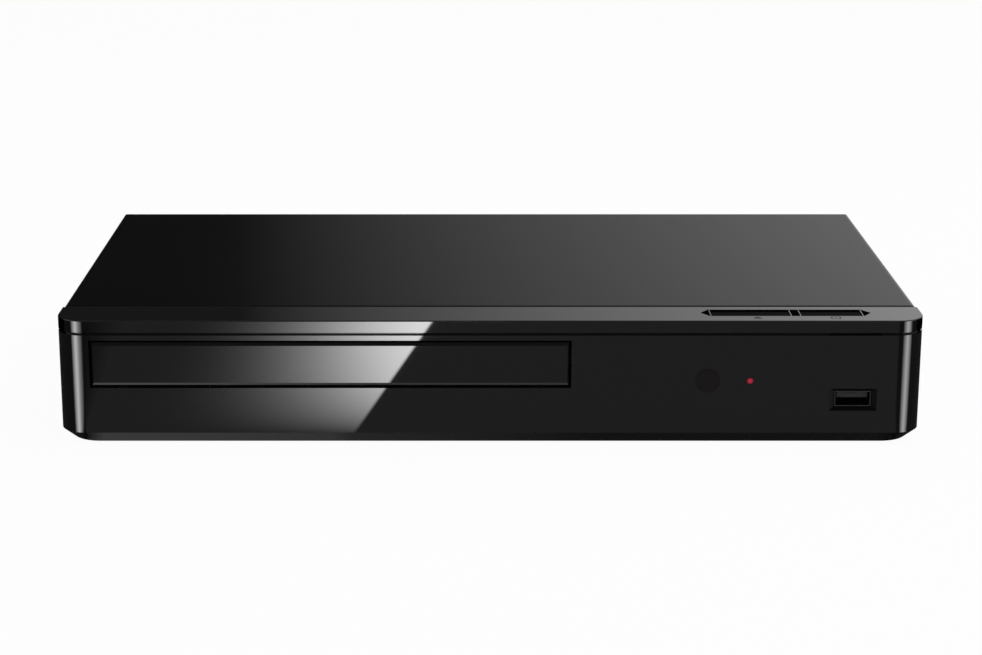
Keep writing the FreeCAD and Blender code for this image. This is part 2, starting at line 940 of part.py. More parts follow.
def button_key(start, length):
    """A bar with a flange that holds it under the strip, and a stem for its switch."""
    bar = key_block(start, length, 0, (trim_underside - key_flange_thickness, top - key_recess_depth))
    flange = key_block(start, length, key_gap + key_flange,
                       (trim_underside - key_flange_thickness - seat_gap, trim_underside - seat_gap))
    middle = start + length / 2
    half = key_stem / 2
    stem_y = front + key_stem_line
    stem = block((middle - half, middle + half), (stem_y - half, stem_y + half),
                 (plunger_top(), trim_underside - key_flange_thickness))
    return bar.fuse([flange, stem]).removeSplitter()


def plunger_top():
    """Height of the switch plungers' tops, where the button stems rest."""
    return switch_top + plunger_height / 2


def switch_plunger(start, length):
    """The small round plunger of one key switch."""
    return upright(plunger_radius, start + length / 2, front + key_stem_line,
                   (plunger_top() - plunger_height, plunger_top()))


def front_board():
    """Upright board behind the fascia, screwed to its posts."""
    board = block((front_board_left, front_board_right), (front_board_front, front_board_back),
                  (front_board_bottom, front_board_top))
    for x, z in front_posts:
        board = board.cut(along_y(screw_hole, x, z, (front_board_front - 1, front_board_back + 1)))
    return board


def tact_switches():
    """Two key switches on the front board, each open on top for its plunger."""
    bodies = []
    for start, length in ((key_left_start, key_left_length), (key_right_start, key_right_length)):
        middle = start + length / 2
        body = block((middle - switch_width / 2, middle + switch_width / 2),
                     (front_board_front - switch_reach, front_board_front),
                     (switch_top - switch_height, switch_top))
        well = upright(plunger_radius + seat_gap, middle, front + key_stem_line,
                       (plunger_top() - plunger_height - key_travel - seat_gap, switch_top + 1))
        bodies.append(body.cut(well))
    return group(bodies)


def power_led():
    """Small light with a round head that meets the light pipe, on a square base."""
    z = foot_reveal + light_z
    start = front + light_pipe_length + seat_gap
    shoulder = front_board_front - led_base_depth
    half = led_base / 2
    head = along_y(led_head_radius, light_x, z, (start, shoulder))
    base = block((light_x - half, light_x + half), (shoulder, front_board_front), (z - half, z + half))
    return head.fuse(base).removeSplitter()


def ir_receiver():
    """Remote-control receiver behind its window, on a stem from the board."""
    z = foot_reveal + window_z
    face = fascia_inside + collar_thickness + seat_gap
    half = receiver_size / 2
    body = block((window_x - half, window_x + half), (face, face + receiver_depth), (z - half, z + half))
    body = soften(body, receiver_round, lambda p: p.y < face + 0.01)
    high = receiver_stem_height / 2
    stem = block((window_x - receiver_stem, window_x + receiver_stem),
                 (face + receiver_depth, front_board_front), (z - high, z + high))
    return body.fuse(stem).removeSplitter()


def usb_socket_shell():
    """Square metal tube of the USB socket, closed at the rear."""
    start = front + usb_recess
    outer = Part.Face(usb_rectangle(usb_width / 2, usb_height / 2, start))
    inner = Part.Face(usb_rectangle(usb_width / 2 - usb_metal, usb_height / 2 - usb_metal, start - 1))
    length = front_board_front - start
    return outer.extrude(Vector(0, length, 0)).cut(inner.extrude(Vector(0, length + 1 - usb_metal, 0)))


def usb_socket_tongue():
    """Plastic tongue inside the USB socket, with its four contacts' block at the rear."""
    start = front + usb_recess + usb_tongue_setback
    end = front_board_front - usb_metal
    middle = foot_reveal + usb_z
    half = usb_tongue_width / 2
    upper = middle + usb_height / 2 - usb_metal - usb_tongue_gap
    tongue = block((usb_x - half, usb_x + half), (start, end), (upper - usb_tongue_height, upper))
    tall = usb_height / 2 - usb_metal - seat_gap
    root = block((usb_x - half, usb_x + half), (end - usb_root, end), (middle - tall, middle + tall))
    return tongue.fuse(root).removeSplitter()


# Boards and power


def flat_board(left, right, ys, holes):
    """A board on its standoffs, with a screw hole near each corner."""
    board = block((left, right), ys, (board_bottom, board_top))
    return board.cut([upright(screw_hole, x, y, (board_bottom - 1, board_top + 1)) for x, y in holes])


def board_chips():
    """The processor and the memory chips on the main board."""
    x, y = processor_centre()
    half = chip_size / 2
    chips = [rounded_block((x - half, x + half), (y - half, y + half),
                           (board_top, board_top + chip_height), chip_round)]
    low = y + memory_distance
    for index in range(memory_count):
        left = main_left + memory_inset + index * memory_pitch
        chips.append(rounded_block((left, left + memory_width), (low, low + memory_depth),
                                   (board_top, board_top + memory_height), memory_round))
    return group(chips)


def processor_centre():
    """The processor lies a little in front of the main board's middle."""
    return (main_left + main_right) / 2, sum(main_board_y) / 2 - chip_forward


def processor_heat_sink():
    """Finned aluminium block on the processor."""
    x, y = processor_centre()
    half = sink_size / 2
    ys = (y - half, y + half)
    bottom = board_top + chip_height
    sink = block((x - half, x + half), ys, (bottom, bottom + sink_base))
    for index in range(sink_fins):
        left = x - half + index * (sink_size - sink_fin) / (sink_fins - 1)
        sink = sink.fuse(block((left, left + sink_fin), ys, (bottom, bottom + sink_height)))
    return sink.removeSplitter()


def power_transformer():
    """Ferrite core around a wound bobbin, on the power board."""
    x = (power_left + power_right) / 2 + transformer_aside
    y = power_board_y[0] + transformer_from_front
    half = transformer_width / 2
    deep = transformer_depth / 2
    window = half - transformer_limb
    low = board_top + bobbin_height
    window_z = (low + transformer_limb, low + transformer_limb + transformer_window)
    core = block((x - half, x + half), (y - deep, y + deep), (low, window_z[1] + transformer_limb))
    core = core.cut(block((x - window, x + window), (y - deep - 1, y + deep + 1), window_z))
    middle = transformer_middle_limb / 2
    limb = block((x - middle, x + middle), (y - deep, y + deep), window_z)
    long = deep + winding_overhang
    winding = rounded_block((x - window + winding_gap, x + window - winding_gap), (y - long, y + long),
                            (window_z[0] + winding_gap, window_z[1] - winding_gap), winding_round)
    bobbin = block((x - half - bobbin_margin, x + half + bobbin_margin), (y - long, y + long),
                   (board_top, low))
    return core.fuse([limb, winding, bobbin]).removeSplitter()


def capacitor(x, y, radius, height):
    """One upright capacitor with a rounded rim."""
    can = upright(radius, x, y, (board_top, board_top + height))
    rim = [edge for edge in can.Edges if all(v.Point.z > board_top + height - 0.01 for v in edge.Vertexes)]
    return can.makeFillet(can_round, rim)


def power_capacitors():
    """One tall reservoir capacitor near the inlet, and four small ones at the front."""
    cans = [capacitor(power_left + can_inset, power_board_y[1] - can_from_rear, can_radius, can_height)]
    for column in range(2):
        for row in range(2):
            cans.append(capacitor(power_left + small_can_inset + column * small_can_pitch,
                                  power_board_y[0] + small_can_from_front + row * small_can_row,
                                  small_can_radius, small_can_height))
    return group(cans)


def mains_filter_coil():
    """Ring core standing on a base, beside the mains inlet."""
    x = power_right - coil_inset
    y = power_board_y[1] - coil_from_rear
    z = board_top + coil_radius + coil_base - coil_seat
    half = coil_thickness / 2
    wide = half + coil_base_margin
    ring = along_x(coil_radius, y, z, (x - half, x + half))
    hole = along_x(coil_bore, y, z, (x - wide, x + wide))
    base = block((x - wide, x + wide), (y - coil_radius, y + coil_radius),
                 (board_top, board_top + coil_base))
    return ring.cut(hole).fuse(base).removeSplitter()


def power_heat_sink():
    """Upright finned plate beside the small capacitors."""
    x = power_right - plate_inset
    low = power_board_y[0] + plate_from_front
    half = plate_thickness / 2
    high = board_top + plate_height
    plate = block((x - half, x + half), (low, low + plate_length), (board_top, high))
    for index in range(plate_fins):
        start = low + index * (plate_length - plate_fin) / (plate_fins - 1)
        plate = plate.fuse(block((x, x + plate_fin_reach), (start, start + plate_fin),
                                 (board_top + plate_fin_lift, high)))
    return plate.removeSplitter()


# Rear sockets


def hdmi_socket():
    """Flat metal socket with a tongue inside."""
    x, z = hdmi_x, board_top
    face = panel_outside + socket_proud
    shell = block((x - hdmi_width / 2, x + hdmi_width / 2), (face - hdmi_depth, face), (z, z + hdmi_height))
    back = face - hdmi_depth + hdmi_back
    inner = hdmi_width / 2 - hdmi_metal
    cavity = block((x - inner, x + inner), (back, face + 1), (z + hdmi_metal, z + hdmi_height - hdmi_metal))
    middle = z + hdmi_height / 2
    side = hdmi_width / 2 - hdmi_tongue_side
    tongue = block((x - side, x + side), (back - join, face - hdmi_tongue_setback),
                   (middle - hdmi_tongue / 2, middle + hdmi_tongue / 2))
    return shell.cut(cavity).fuse(tongue).removeSplitter()


def lan_socket():
    """Network socket with a stepped cavity for the plug and its latch."""
    x, z = lan_x, board_top
    face = panel_outside + socket_proud
    body = block((x - lan_width / 2, x + lan_width / 2), (face - lan_depth, face), (z, z + lan_height))
    half = lan_width / 2 - lan_wall
    floor = z + (lan_height - lan_cavity_height) / 2
    ys = (face - lan_cavity_depth, face + 1)
    cavity = block((x - half, x + half), ys, (floor, floor + lan_cavity_height))
    narrow = lan_latch_width / 2
    latch = block((x - narrow, x + narrow), ys, (z + lan_latch_floor, floor + 1))
    return body.cut([cavity, latch]).removeSplitter()


def inlet_middle():
    """Height of the mains inlet's axis."""
    return board_top + inlet_height / 2


def mains_inlet():
    """Two-pole mains inlet: a figure-of-eight cavity in a plastic block."""
    face = panel_outside + socket_proud
    z = inlet_middle()
    body = block((inlet_x - inlet_width / 2, inlet_x + inlet_width / 2), (face - inlet_depth, face),
                 (board_top, board_top + inlet_height))
    half = inlet_pitch / 2
    cavity = block((inlet_x - half, inlet_x + half), (face - inlet_cavity, face + 1),
                   (z - inlet_lobe, z + inlet_lobe))
    cuts = [cavity]
    for x in (inlet_x - half, inlet_x + half):
        cuts.append(along_y(inlet_lobe, x, z, (face - inlet_cavity, face + 1)))
        cuts.append(along_y(inlet_pin_radius + seat_gap / 2, x, z, (face - inlet_depth - 1, face)))
    return body.cut(cuts).removeSplitter()


def inlet_pins():
    """The two round pins of the mains inlet."""
    tip = panel_outside + socket_proud - inlet_pin_setback
    return group([along_y(inlet_pin_radius, inlet_x + side * inlet_pitch / 2, inlet_middle(),
                          (tip - inlet_pin_length, tip)) for side in (-1, 1)])


# Connectors and cables

drive_plug_x = loader_x + loader_half - drive_plug_inset
main_plug_x = main_left + main_plug_inset
drive_plug_y = main_board_y[0] + plug_row
front_plug_x = main_right - front_plug_inset
front_socket_y = main_board_y[0] + front_socket_row
power_plug_y = power_board_y[0] + power_plug_row
power_arch_x = (main_right + power_left) / 2
loader_board_x = (motor_x + motor_radius + loader_board_gap, loader_x + loader_half - loader_board_side)
loader_board_y = (loader_front + loader_board_front, bay_back - loader_board_side)
loader_board_top = floor_top + board_thickness


def plug_block(x, y, half_x, half_y, bottom):
    """One connector body standing on a board."""
    return block((x - half_x, x + half_x), (y - half_y, y + half_y), (bottom, bottom + connector_height))


def board_connectors():
    """The connector bodies on all the boards."""
    half = connector_depth / 2
    drive_half = drive_ribbon_width / 2 + connector_margin
    front_half = front_ribbon_width / 2 + connector_margin
    wires_half = wire_pitch * wire_count / 2
    narrow = wire_plug_depth / 2
    return group([
        plug_block(drive_plug_x, drive_plug_y, half, drive_half, loader_board_top),
        plug_block(main_plug_x, drive_plug_y, half, drive_half, board_top),
        plug_block(front_plug_x, front_socket_y, front_half, half, board_top),
        block((front_plug_x - front_half, front_plug_x + front_half),
              (front_board_back, front_board_back + connector_depth),
              (front_plug_z - half, front_plug_z + half)),
        plug_block(power_arch_x - wire_bend, power_plug_y, narrow, wires_half, board_top),
        plug_block(power_arch_x + wire_bend, power_plug_y, narrow, wires_half, board_top),
    ])


def ribbon(points, bends, across):
    """A flat cable without thickness: straight runs and round bends, pulled across its width."""
    path = []
    last = points[0]
    for index in range(1, len(points) - 1):
        before = (points[index - 1] - points[index]).normalize()
        after = (points[index + 1] - points[index]).normalize()
        start = points[index] + before * bends
        end = points[index] + after * bends
        centre = points[index] + (before + after) * bends
        outward = (points[index] - centre).normalize()
        path.append(Part.LineSegment(last, start).toShape())
        path.append(Part.Arc(start, centre + outward * bends, end).toShape())
        last = end
    path.append(Part.LineSegment(last, points[-1]).toShape())
    return Part.Wire(path).extrude(across)


def thick_ribbon(points, bends, across):
    """A flat cable, thickened to one side of the path through the points."""
    return ribbon(points, bends, across).makeOffsetShape(ribbon_thickness, 0.001, fill=True).Solids[0]


def front_ribbon_cable():
    """Flat cable from the main board to the front board, in one large bend."""
    x = front_plug_x - front_ribbon_width / 2
    points = [Vector(x, front_board_back + connector_depth, front_plug_z),
              Vector(x, front_socket_y, front_plug_z),
              Vector(x, front_socket_y, board_top + connector_height)]
    return thick_ribbon(points, ribbon_bend, Vector(front_ribbon_width, 0, 0))


def drive_ribbon_cable():
    """Flat cable from the loader board, through the loader's side wall, to the main board."""
    y = drive_plug_y - drive_ribbon_width / 2
    crest = notch_top - crest_drop
    points = [Vector(drive_plug_x, y, loader_board_top + connector_height), Vector(drive_plug_x, y, crest),
              Vector(main_plug_x, y, crest), Vector(main_plug_x, y, board_top + connector_height)]
    return thick_ribbon(points, ribbon_bend - 0.5, Vector(0, drive_ribbon_width, 0))


def power_cable():
    """Four wires in a half round arch between the power board and the main board."""
    z = board_top + connector_height
    reach = wire_bend + 2 * wire_radius
    above = block((power_arch_x - reach, power_arch_x + reach), (front, rear), (z, z + reach))
    wires = []
    for index in range(wire_count):
        y = power_plug_y + (index - (wire_count - 1) / 2) * wire_pitch
        ring = Part.makeTorus(wire_bend, wire_radius, Vector(power_arch_x, y, z), Vector(0, 1, 0))
        wires.append(ring.common(above))
    return group(wires)


# Gears


def involute_point(base, radius, start):
    """A point on an involute at a radius, with the curve's start angle."""
    roll = math.sqrt(max(0.0, (radius / base) ** 2 - 1))
    angle = start + roll - math.atan(roll)
    return radius, angle


def gear_face(teeth, phase):
    """A gear's outline at Z zero: arcs along the flanks, tips and roots."""
    pitch = module * teeth / 2
    base = pitch * math.cos(math.radians(pressure_angle))
    tip = pitch + addendum * module
    root = pitch - dedendum * module
    flank_start = max(base, root)
    turn = math.tan(math.radians(pressure_angle)) - math.radians(pressure_angle)
    half_tooth = (math.pi * module / 2 - backlash) / (2 * pitch)

    def at(radius, angle):
        return Vector(radius * math.cos(angle), radius * math.sin(angle), 0)

    edges = []
    step = 2 * math.pi / teeth
    for index in range(teeth):
        middle = phase + index * step
        radii = (flank_start, (flank_start + tip) / 2, tip)
        lead = [involute_point(base, radius, 0)[1] - turn - half_tooth for radius in radii]
        rising = [at(radius, middle + angle) for radius, angle in zip(radii, lead)]
        falling = [at(radius, middle - angle) for radius, angle in zip(radii, lead)]
        root_in = at(root, middle + lead[0])
        root_out = at(root, middle - lead[0])
        next_root = at(root, middle + step + lead[0])
        if flank_start > root:
            edges.append(Part.LineSegment(root_in, rising[0]).toShape())
        edges.append(Part.Arc(rising[0], rising[1], rising[2]).toShape())
        edges.append(Part.Arc(rising[2], at(tip, middle), falling[2]).toShape())
        edges.append(Part.Arc(falling[2], falling[1], falling[0]).toShape())
        if flank_start > root:
            edges.append(Part.LineSegment(falling[0], root_out).toShape())
        edges.append(Part.Arc(root_out, at(root, middle + step / 2), next_root).toShape())
    return Part.Face(Part.Wire(edges))


def gear(teeth, phase, x, y, z):
    """A toothed wheel between two heights."""
    solid = gear_face(teeth, phase).extrude(Vector(0, 0, z[1] - z[0]))
    solid.translate(Vector(x, y, z[0]))
    return solid


def rack():
    """The toothed rail under the tray: its teeth face right and mesh with the drive gear."""
    pitch_x = loader_x - rack_pitch_offset
    tip_x = pitch_x + addendum * module
    root_x = pitch_x - dedendum * module
    back_x = root_x - rack_body
    slope = math.tan(math.radians(pressure_angle))
    half = (math.pi * module / 2 - backlash) / 2
    pitch = math.pi * module
    whole = round((gear_y - front - rack_front_margin) / pitch + 0.5)
    first = gear_y - (whole - 0.5) * pitch
    start = first - pitch / 2
    end = start + rack_teeth * pitch
    points = [(back_x, start)]
    points.append((root_x, start))
    for index in range(rack_teeth):
        y = first + index * pitch
        wide = half + dedendum * module * slope
        narrow = half - addendum * module * slope
        points += [(root_x, y - wide), (tip_x, y - narrow), (tip_x, y + narrow), (root_x, y + wide)]
    points += [(root_x, end), (back_x, end)]
    return prism(points, (rack_bottom, tray_floor_top))


def upper_gear_z():
    """Heights of the gear that meshes with the rack."""
    return rack_bottom, rack_bottom + upper_gear_height


def drive_gear():
    """Two gears in one moulding: the small one drives the rack, the large one is driven."""
    low = (lower_gear_bottom, lower_gear_bottom + lower_gear_height)
    upper = upper_gear_z()
    wheel = gear(lower_teeth, 0, drive_x, gear_y, low)
    wheel = wheel.fuse(upright(gear_hub_radius, drive_x, gear_y, (low[1] - join, upper[0] + join)))
    wheel = wheel.fuse(gear(upper_teeth, math.pi, drive_x, gear_y, upper))
    return wheel.cut(upright(post_pin_radius + running_gap, drive_x, gear_y, (0, top))).removeSplitter()


def pulley_z():
    """Heights of the belt pulleys."""
    return pulley_bottom, pulley_bottom + 2 * pulley_flange + belt_size + 2 * slide_gap


def grooved_pulley(pitch_radius, x, y):
    """A flanged pulley with a square groove for the belt."""
    z = pulley_z()
    rim = pitch_radius + pulley_rim
    seat = pitch_radius - belt_size / 2 - seat_gap
    body = upright(seat, x, y, z)
    lower = upright(rim, x, y, (z[0], z[0] + pulley_flange))
    upper = upright(rim, x, y, (z[1] - pulley_flange, z[1]))
    return body.fuse([lower, upper])


def pulley_gear():
    """The belt pulley with the pinion below it."""
    half_tooth = math.pi / pinion_teeth
    z0 = lower_gear_bottom - slide_gap
    pinion = gear(pinion_teeth, math.pi + half_tooth, pulley_x, gear_y, (z0, z0 + pinion_height))
    neck = upright(module * (pinion_teeth / 2 - dedendum), pulley_x, gear_y,
                   (z0 + pinion_height - join, pulley_bottom + join))
    wheel = grooved_pulley(pulley_pitch_radius, pulley_x, gear_y).fuse([pinion, neck])
    return wheel.cut(upright(post_pin_radius + running_gap, pulley_x, gear_y, (0, top))).removeSplitter()


def motor_pulley():
    """The small pulley on the loading motor's shaft."""
    shaft = upright(motor_shaft_radius, motor_x, gear_y,
                    (motor_top - motor_shaft_reach, pulley_bottom + join))
    return grooved_pulley(motor_pulley_pitch_radius, motor_x, gear_y).fuse(shaft).removeSplitter()


def belt_face(grow):
    """The belt's loop around both pulleys, at its pitch line grown outwards."""
    big = pulley_pitch_radius + grow
    small = motor_pulley_pitch_radius + grow
    lean = math.asin((big - small) / belt_run)
    across = Vector(math.sin(lean), math.cos(lean), 0)
    mirrored = Vector(across.x, -across.y, 0)
    left = Vector(pulley_x, gear_y, 0)
    right = Vector(motor_x, gear_y, 0)
    return Part.Face(Part.Wire([
        Part.LineSegment(left + across * big, right + across * small).toShape(),
        Part.Arc(right + across * small, right + Vector(small, 0, 0), right + mirrored * small).toShape(),
        Part.LineSegment(right + mirrored * small, left + mirrored * big).toShape(),
        Part.Arc(left + mirrored * big, left - Vector(big, 0, 0), left + across * big).toShape(),
    ]))


def drive_belt():
    """Square rubber belt in both pulley grooves."""
    z = pulley_bottom + pulley_flange + slide_gap
    face = belt_face(belt_size / 2).cut(belt_face(-belt_size / 2))
    belt = face.extrude(Vector(0, 0, belt_size))
    belt.translate(Vector(0, 0, z))
    return belt.Solids[0]


def loading_motor():
    """Round motor hung under the loader's seat, with its nose up."""
    can = upright(motor_radius, motor_x, gear_y, (motor_bottom, motor_top))
    nose = upright(motor_nose_radius, motor_x, gear_y, (motor_top, motor_top + motor_nose))
    bore = upright(motor_shaft_radius + running_gap, motor_x, gear_y, (motor_top - motor_bore_depth, top))
    return can.fuse(nose).cut(bore).removeSplitter()


# Loader


def loader_frame():
    """Plastic frame: walls with rails for the tray, a floor with posts, and the deck's brackets."""
    ys = (loader_front, loader_back)
    solids = []
    for xs in both_sides(loader_half, loader_half + loader_wall):
        solids.append(block(xs, ys, (loader_bottom, loader_wall_top)))
    for xs in both_sides(loader_half - ledge_width, loader_half + join):
        solids.append(block(xs, ys, (tray_underside - seat_gap - ledge_height, tray_underside - seat_gap)))
    for xs in both_sides(deck_half_opening, loader_half + join):
        solids.append(block(xs, (bay_back - join, loader_back), (floor_bottom, floor_top)))
    full = (loader_x - loader_half - join, loader_x + loader_half + join)
    solids.append(block(full, (loader_front, bay_back), (floor_bottom, floor_top)))
    solids.append(block(full, (loader_back - loader_wall, loader_back),
                        (loader_bottom, floor_top + rear_wall_height)))
    frame = solids[0].fuse(solids[1:] + tray_tabs() + deck_brackets() + slider_guides() + gear_posts())
    frame = frame.fuse(motor_seat() + mounting_ears() + bridge_bosses())
    cuts = [upright(motor_radius + panel_gap, motor_x, gear_y, (0, motor_top)),
            upright(motor_nose_radius + panel_gap, motor_x, gear_y, (motor_top - 1, top)),
            block((loader_x + loader_half - seat_gap, loader_x + loader_half + loader_wall + 1),
                  (drive_plug_y - notch_length / 2, drive_plug_y + notch_length / 2),
                  (notch_bottom, notch_top))]
    for x, y in loader_ears():
        cuts.append(upright(screw_hole, x, y, (0, top)))
    for x, y in bridge_screws():
        cuts.append(upright(screw_hole, x, y, (loader_wall_top - screw_length - 1, top)))
    return frame.cut(cuts).removeSplitter()


def tray_tabs():
    """Tabs over the tray's side flanges, in three places along each wall."""
    low = tray_floor_top + slide_gap * 2
    tabs = []
    for xs in both_sides(loader_half - tab_reach, loader_half + join):
        for start in (loader_front + tab_front, disc_rest_y, loader_back - tab_rear):
            tabs.append(block(xs, (start, start + tab_length), (low, low + tab_height)))
    return tabs


def deck_brackets():
    """Upright brackets with the bores for the lifting deck's hinge pins."""
    brackets = []
    for xs in both_sides(deck_half_opening + slide_gap, deck_half_opening + slide_gap + bracket_thickness):
        bracket = block(xs, (hinge_y - bracket_half, hinge_y + bracket_half), (floor_bottom, bracket_top))
        bore = along_x(hinge_pin_radius + running_gap, hinge_y, hinge_z, (xs[0] - 1, xs[1] + 1))
        brackets.append(bracket.cut(bore))
    return brackets


def slider_y():
    """Where the cam slider's plate lies, just behind the front bay's wall."""
    return bay_back + slider_gap(), bay_back + slider_gap() + slider_thickness


def slider_gap():
    """The slider's distance from the edge of the front bay's floor."""
    return loader_floor + slide_gap


def slider_guides():
    """Wall in front of the cam slider, with two hooks that hold it at the top and two ledges below."""
    start, end = slider_y()
    wall_back = start - slide_gap
    half = deck_half
    wall = block((loader_x - half, loader_x + half), (bay_back - join, wall_back),
                 (slider_bottom - slide_gap - hook_thickness, slider_top + slide_gap + hook_thickness))
    guides = [wall]
    for xs in both_sides(hook_start, hook_start + hook_length):
        back = end + slide_gap + hook_thickness
        guides.append(block(xs, (wall_back - join, back),
                            (slider_top + slide_gap, slider_top + slide_gap + hook_thickness)))
        guides.append(block(xs, (end + slide_gap, back),
                            (slider_top - hook_drop, slider_top + slide_gap + join)))
        guides.append(block(xs, (wall_back - join, end),
                            (slider_bottom - slide_gap - hook_thickness, slider_bottom - slide_gap)))
    return guides


def gear_posts():
    """Round posts on the floor that the two gears turn on."""
    posts = []
    for x, wheel_top, seat in ((drive_x, upper_gear_z()[1], lower_gear_bottom - slide_gap),
                               (pulley_x, pulley_z()[1], lower_gear_bottom - 2 * slide_gap)):
        posts.append(upright(post_pin_radius, x, gear_y, (floor_bottom, wheel_top + post_spare)))
        posts.append(upright(post_pin_radius + post_shoulder, x, gear_y, (floor_bottom, seat)))
    return posts


def motor_seat():
    """A cup upside down on the floor that the loading motor hangs in."""
    outer = motor_radius + panel_gap + motor_seat_wall
    return [upright(outer, motor_x, gear_y, (floor_bottom, motor_top)),
            upright(motor_radius, motor_x, gear_y, (motor_top - 1, motor_top))]


def mounting_ears():
    """Four ears on the walls' outsides, standing on the chassis."""
    ears = []
    half = ear_size / 2
    for x, y in loader_ears():
        towards = 1 if x < loader_x else -1
        xs = sorted((x - towards * half, x + towards * (half + join)))
        ears.append(block(xs, (y - half, y + half), (chassis_top, chassis_top + ear_height)))
    return ears


def bridge_bosses():
    """Square bosses on the walls' outsides that carry the clamper bridge."""
    bosses = []
    half = bridge_boss / 2
    for x, y in bridge_screws():
        towards = 1 if x < loader_x else -1
        xs = sorted((x - towards * half, x + towards * (half + join)))
        bosses.append(block(xs, (y - half, y + half),
                            (loader_wall_top - bridge_boss_height, loader_wall_top)))
    return bosses


def clamper_bridge():
    """Plate across the loader with the hole that the clamper puck sits in."""
    reach = loader_half + loader_wall + bridge_boss
    z = (loader_wall_top, bridge_top)
    plate = rounded_block((loader_x - reach, loader_x + reach), bridge_y, z, bridge_round)
    cuts = [upright(clamper_hole, loader_x, disc_rest_y, (z[0] - 1, z[1] + 1))]
    cuts += [upright(screw_hole, x, y, (z[0] - 1, z[1] + 1)) for x, y in bridge_screws()]
    ys = (bridge_y[0] + bridge_window_margin, bridge_y[1] - bridge_window_margin)
    for xs in both_sides(clamper_hole + bridge_window_side, loader_half - bridge_window_end):
        cuts.append(rounded_block(xs, ys, (z[0] - 1, z[1] + 1), bridge_window_round))
    return plate.cut(cuts)


def clamper_puck():
    """Round puck that hangs in the bridge and presses the disc on the turntable."""
    z = bridge_top + slide_gap
    body = upright(clamper_hole - clamper_gap, loader_x, disc_rest_y, (clamper_underside, z + join))
    flange = upright(clamper_hole + clamper_flange, loader_x, disc_rest_y, (z, z + clamper_flange_thickness))
    recess = upright(clamper_recess, loader_x, disc_rest_y,
                     (clamper_underside - 1, clamper_underside + clamper_recess_depth))
    return body.fuse(flange).cut(recess).removeSplitter()


def tray():
    """Disc tray: a floor with side flanges, a raised rim round the disc recess, and the rack."""
    half = tray_width / 2
    rim_half = half - tray_flange
    z = (tray_underside, tray_floor_top)
    plate = block((loader_x - half, loader_x + half), (tray_front, tray_back), z)
    rim = block((loader_x - rim_half, loader_x + rim_half), (tray_front, tray_back - rim_setback),
                (tray_floor_top - join, tray_top))
    recess = upright(disc_radius + disc_play, loader_x, disc_rest_y, (tray_floor_top + tray_step, top))
    inner = upright(disc_radius - disc_ledge, loader_x, disc_rest_y, (tray_floor_top, top))
    well = upright(spindle_well, loader_x, disc_rest_y, (0, top))
    slot = block((loader_x - slot_half, loader_x + slot_half),
                 (disc_rest_y, disc_rest_y + slot_reach), (0, top))
    solid = plate.fuse(rim).cut([recess, inner, well, slot] + tray_pockets())
    return solid.fuse(rack()).removeSplitter()


def tray_pockets():
    """Hollows under the four raised corners, so that the walls stay thin."""
    keep = upright(disc_radius + disc_play + tray_skin, loader_x, disc_rest_y, (0, top))
    outer = tray_width / 2 - tray_flange - tray_skin
    inner_left = rack_pitch_offset + dedendum + rack_body + tray_skin
    low = tray_front + tray_skin + 1
    high = tray_back - rim_setback - tray_skin
    pockets = []
    for xs in ((loader_x + pocket_side, loader_x + outer), (loader_x - outer, loader_x - inner_left)):
        for ys in ((low, disc_rest_y - pocket_side), (disc_rest_y + pocket_side, high)):
            pockets.append(block(xs, ys, (tray_underside - 1, tray_top - tray_skin)).cut(keep))
    return pockets


def cam_slider():
    """Plate that slides sideways and lifts the deck's pin along a sloped slot."""
    y = slider_y()
    plate = block((loader_x - slider_left, loader_x + slider_right), y, (slider_bottom, slider_top))
    radius = lift_pin_radius + slot_gap
    low = lift_pin_low()
    ends = [Vector(loader_x, y[0] - 1, low), Vector(loader_x - slider_travel, y[0] - 1, lift_pin_z)]
    along = (ends[1] - ends[0]).normalize()
    side = Vector(along.z, 0, -along.x) * radius
    corners = [ends[0] + side, ends[1] + side, ends[1] - side, ends[0] - side]
    slot = Part.Face(Part.makePolygon(corners + corners[:1])).extrude(Vector(0, slider_thickness + 2, 0))
    for end in ends:
        slot = slot.fuse(Part.makeCylinder(radius, slider_thickness + 2, end, Vector(0, 1, 0)))
    return plate.cut(slot).removeSplitter()


def lift_pin_low():
    """Height of the lifting pin with the deck lowered."""
    turn = math.radians(lift_angle)
    arm = sum(slider_y()) / 2 - hinge_y
    return hinge_z + arm * math.sin(turn) + (lift_pin_z - hinge_z) * math.cos(turn)


# Lifting deck, each piece drawn level


def bush_places():
    """The four rubber bushes on the deck's side beams."""
    ys = (deck_front + bush_front, deck_back - bush_rear)
    return [(loader_x + side * (deck_half - bush_offset), y) for side in (-1, 1) for y in ys]


def traverse_frame():
    """Plastic frame of the lifting deck, with hinge pins, a lifting pin and posts for the bushes."""
    x = (loader_x - deck_half, loader_x + deck_half)
    frame = block(x, (deck_front, deck_back), (deck_bottom, deck_top))
    frame = frame.cut(block((x[0] + deck_beam, x[1] - deck_beam),
                            (deck_front + deck_beam, deck_back - deck_beam),
                            (deck_bottom - 1, deck_top + 1)))
    upstand = block((loader_x - deck_upstand_half, loader_x + deck_upstand_half),
                    (deck_front, deck_front + deck_upstand_thickness), (deck_bottom, deck_upstand_top))
    pin = along_y(lift_pin_radius, loader_x, lift_pin_z, (deck_front - lift_pin_length, deck_front + join))
    hinges = [along_x(hinge_pin_radius, hinge_y, hinge_z, xs)
              for xs in both_sides(deck_half - 3, deck_half + hinge_pin_length)]
    posts = []
    for px, py in bush_places():
        posts.append(upright(lift_pin_radius, px, py, (deck_top - join, sheet_top + 1)))
        posts.append(upright(lift_pin_radius + 1, px, py, (sheet_top, sheet_top + 1)))
    return frame.fuse([upstand, pin] + hinges + posts).removeSplitter()


def traverse_bushes():
    """Rubber rings between the deck's frame and the mechanism plate."""
    return group([upright(bush_radius, x, y, (deck_top, sheet_bottom))
                  .cut(upright(lift_pin_radius + seat_gap, x, y, (0, top))) for x, y in bush_places()])


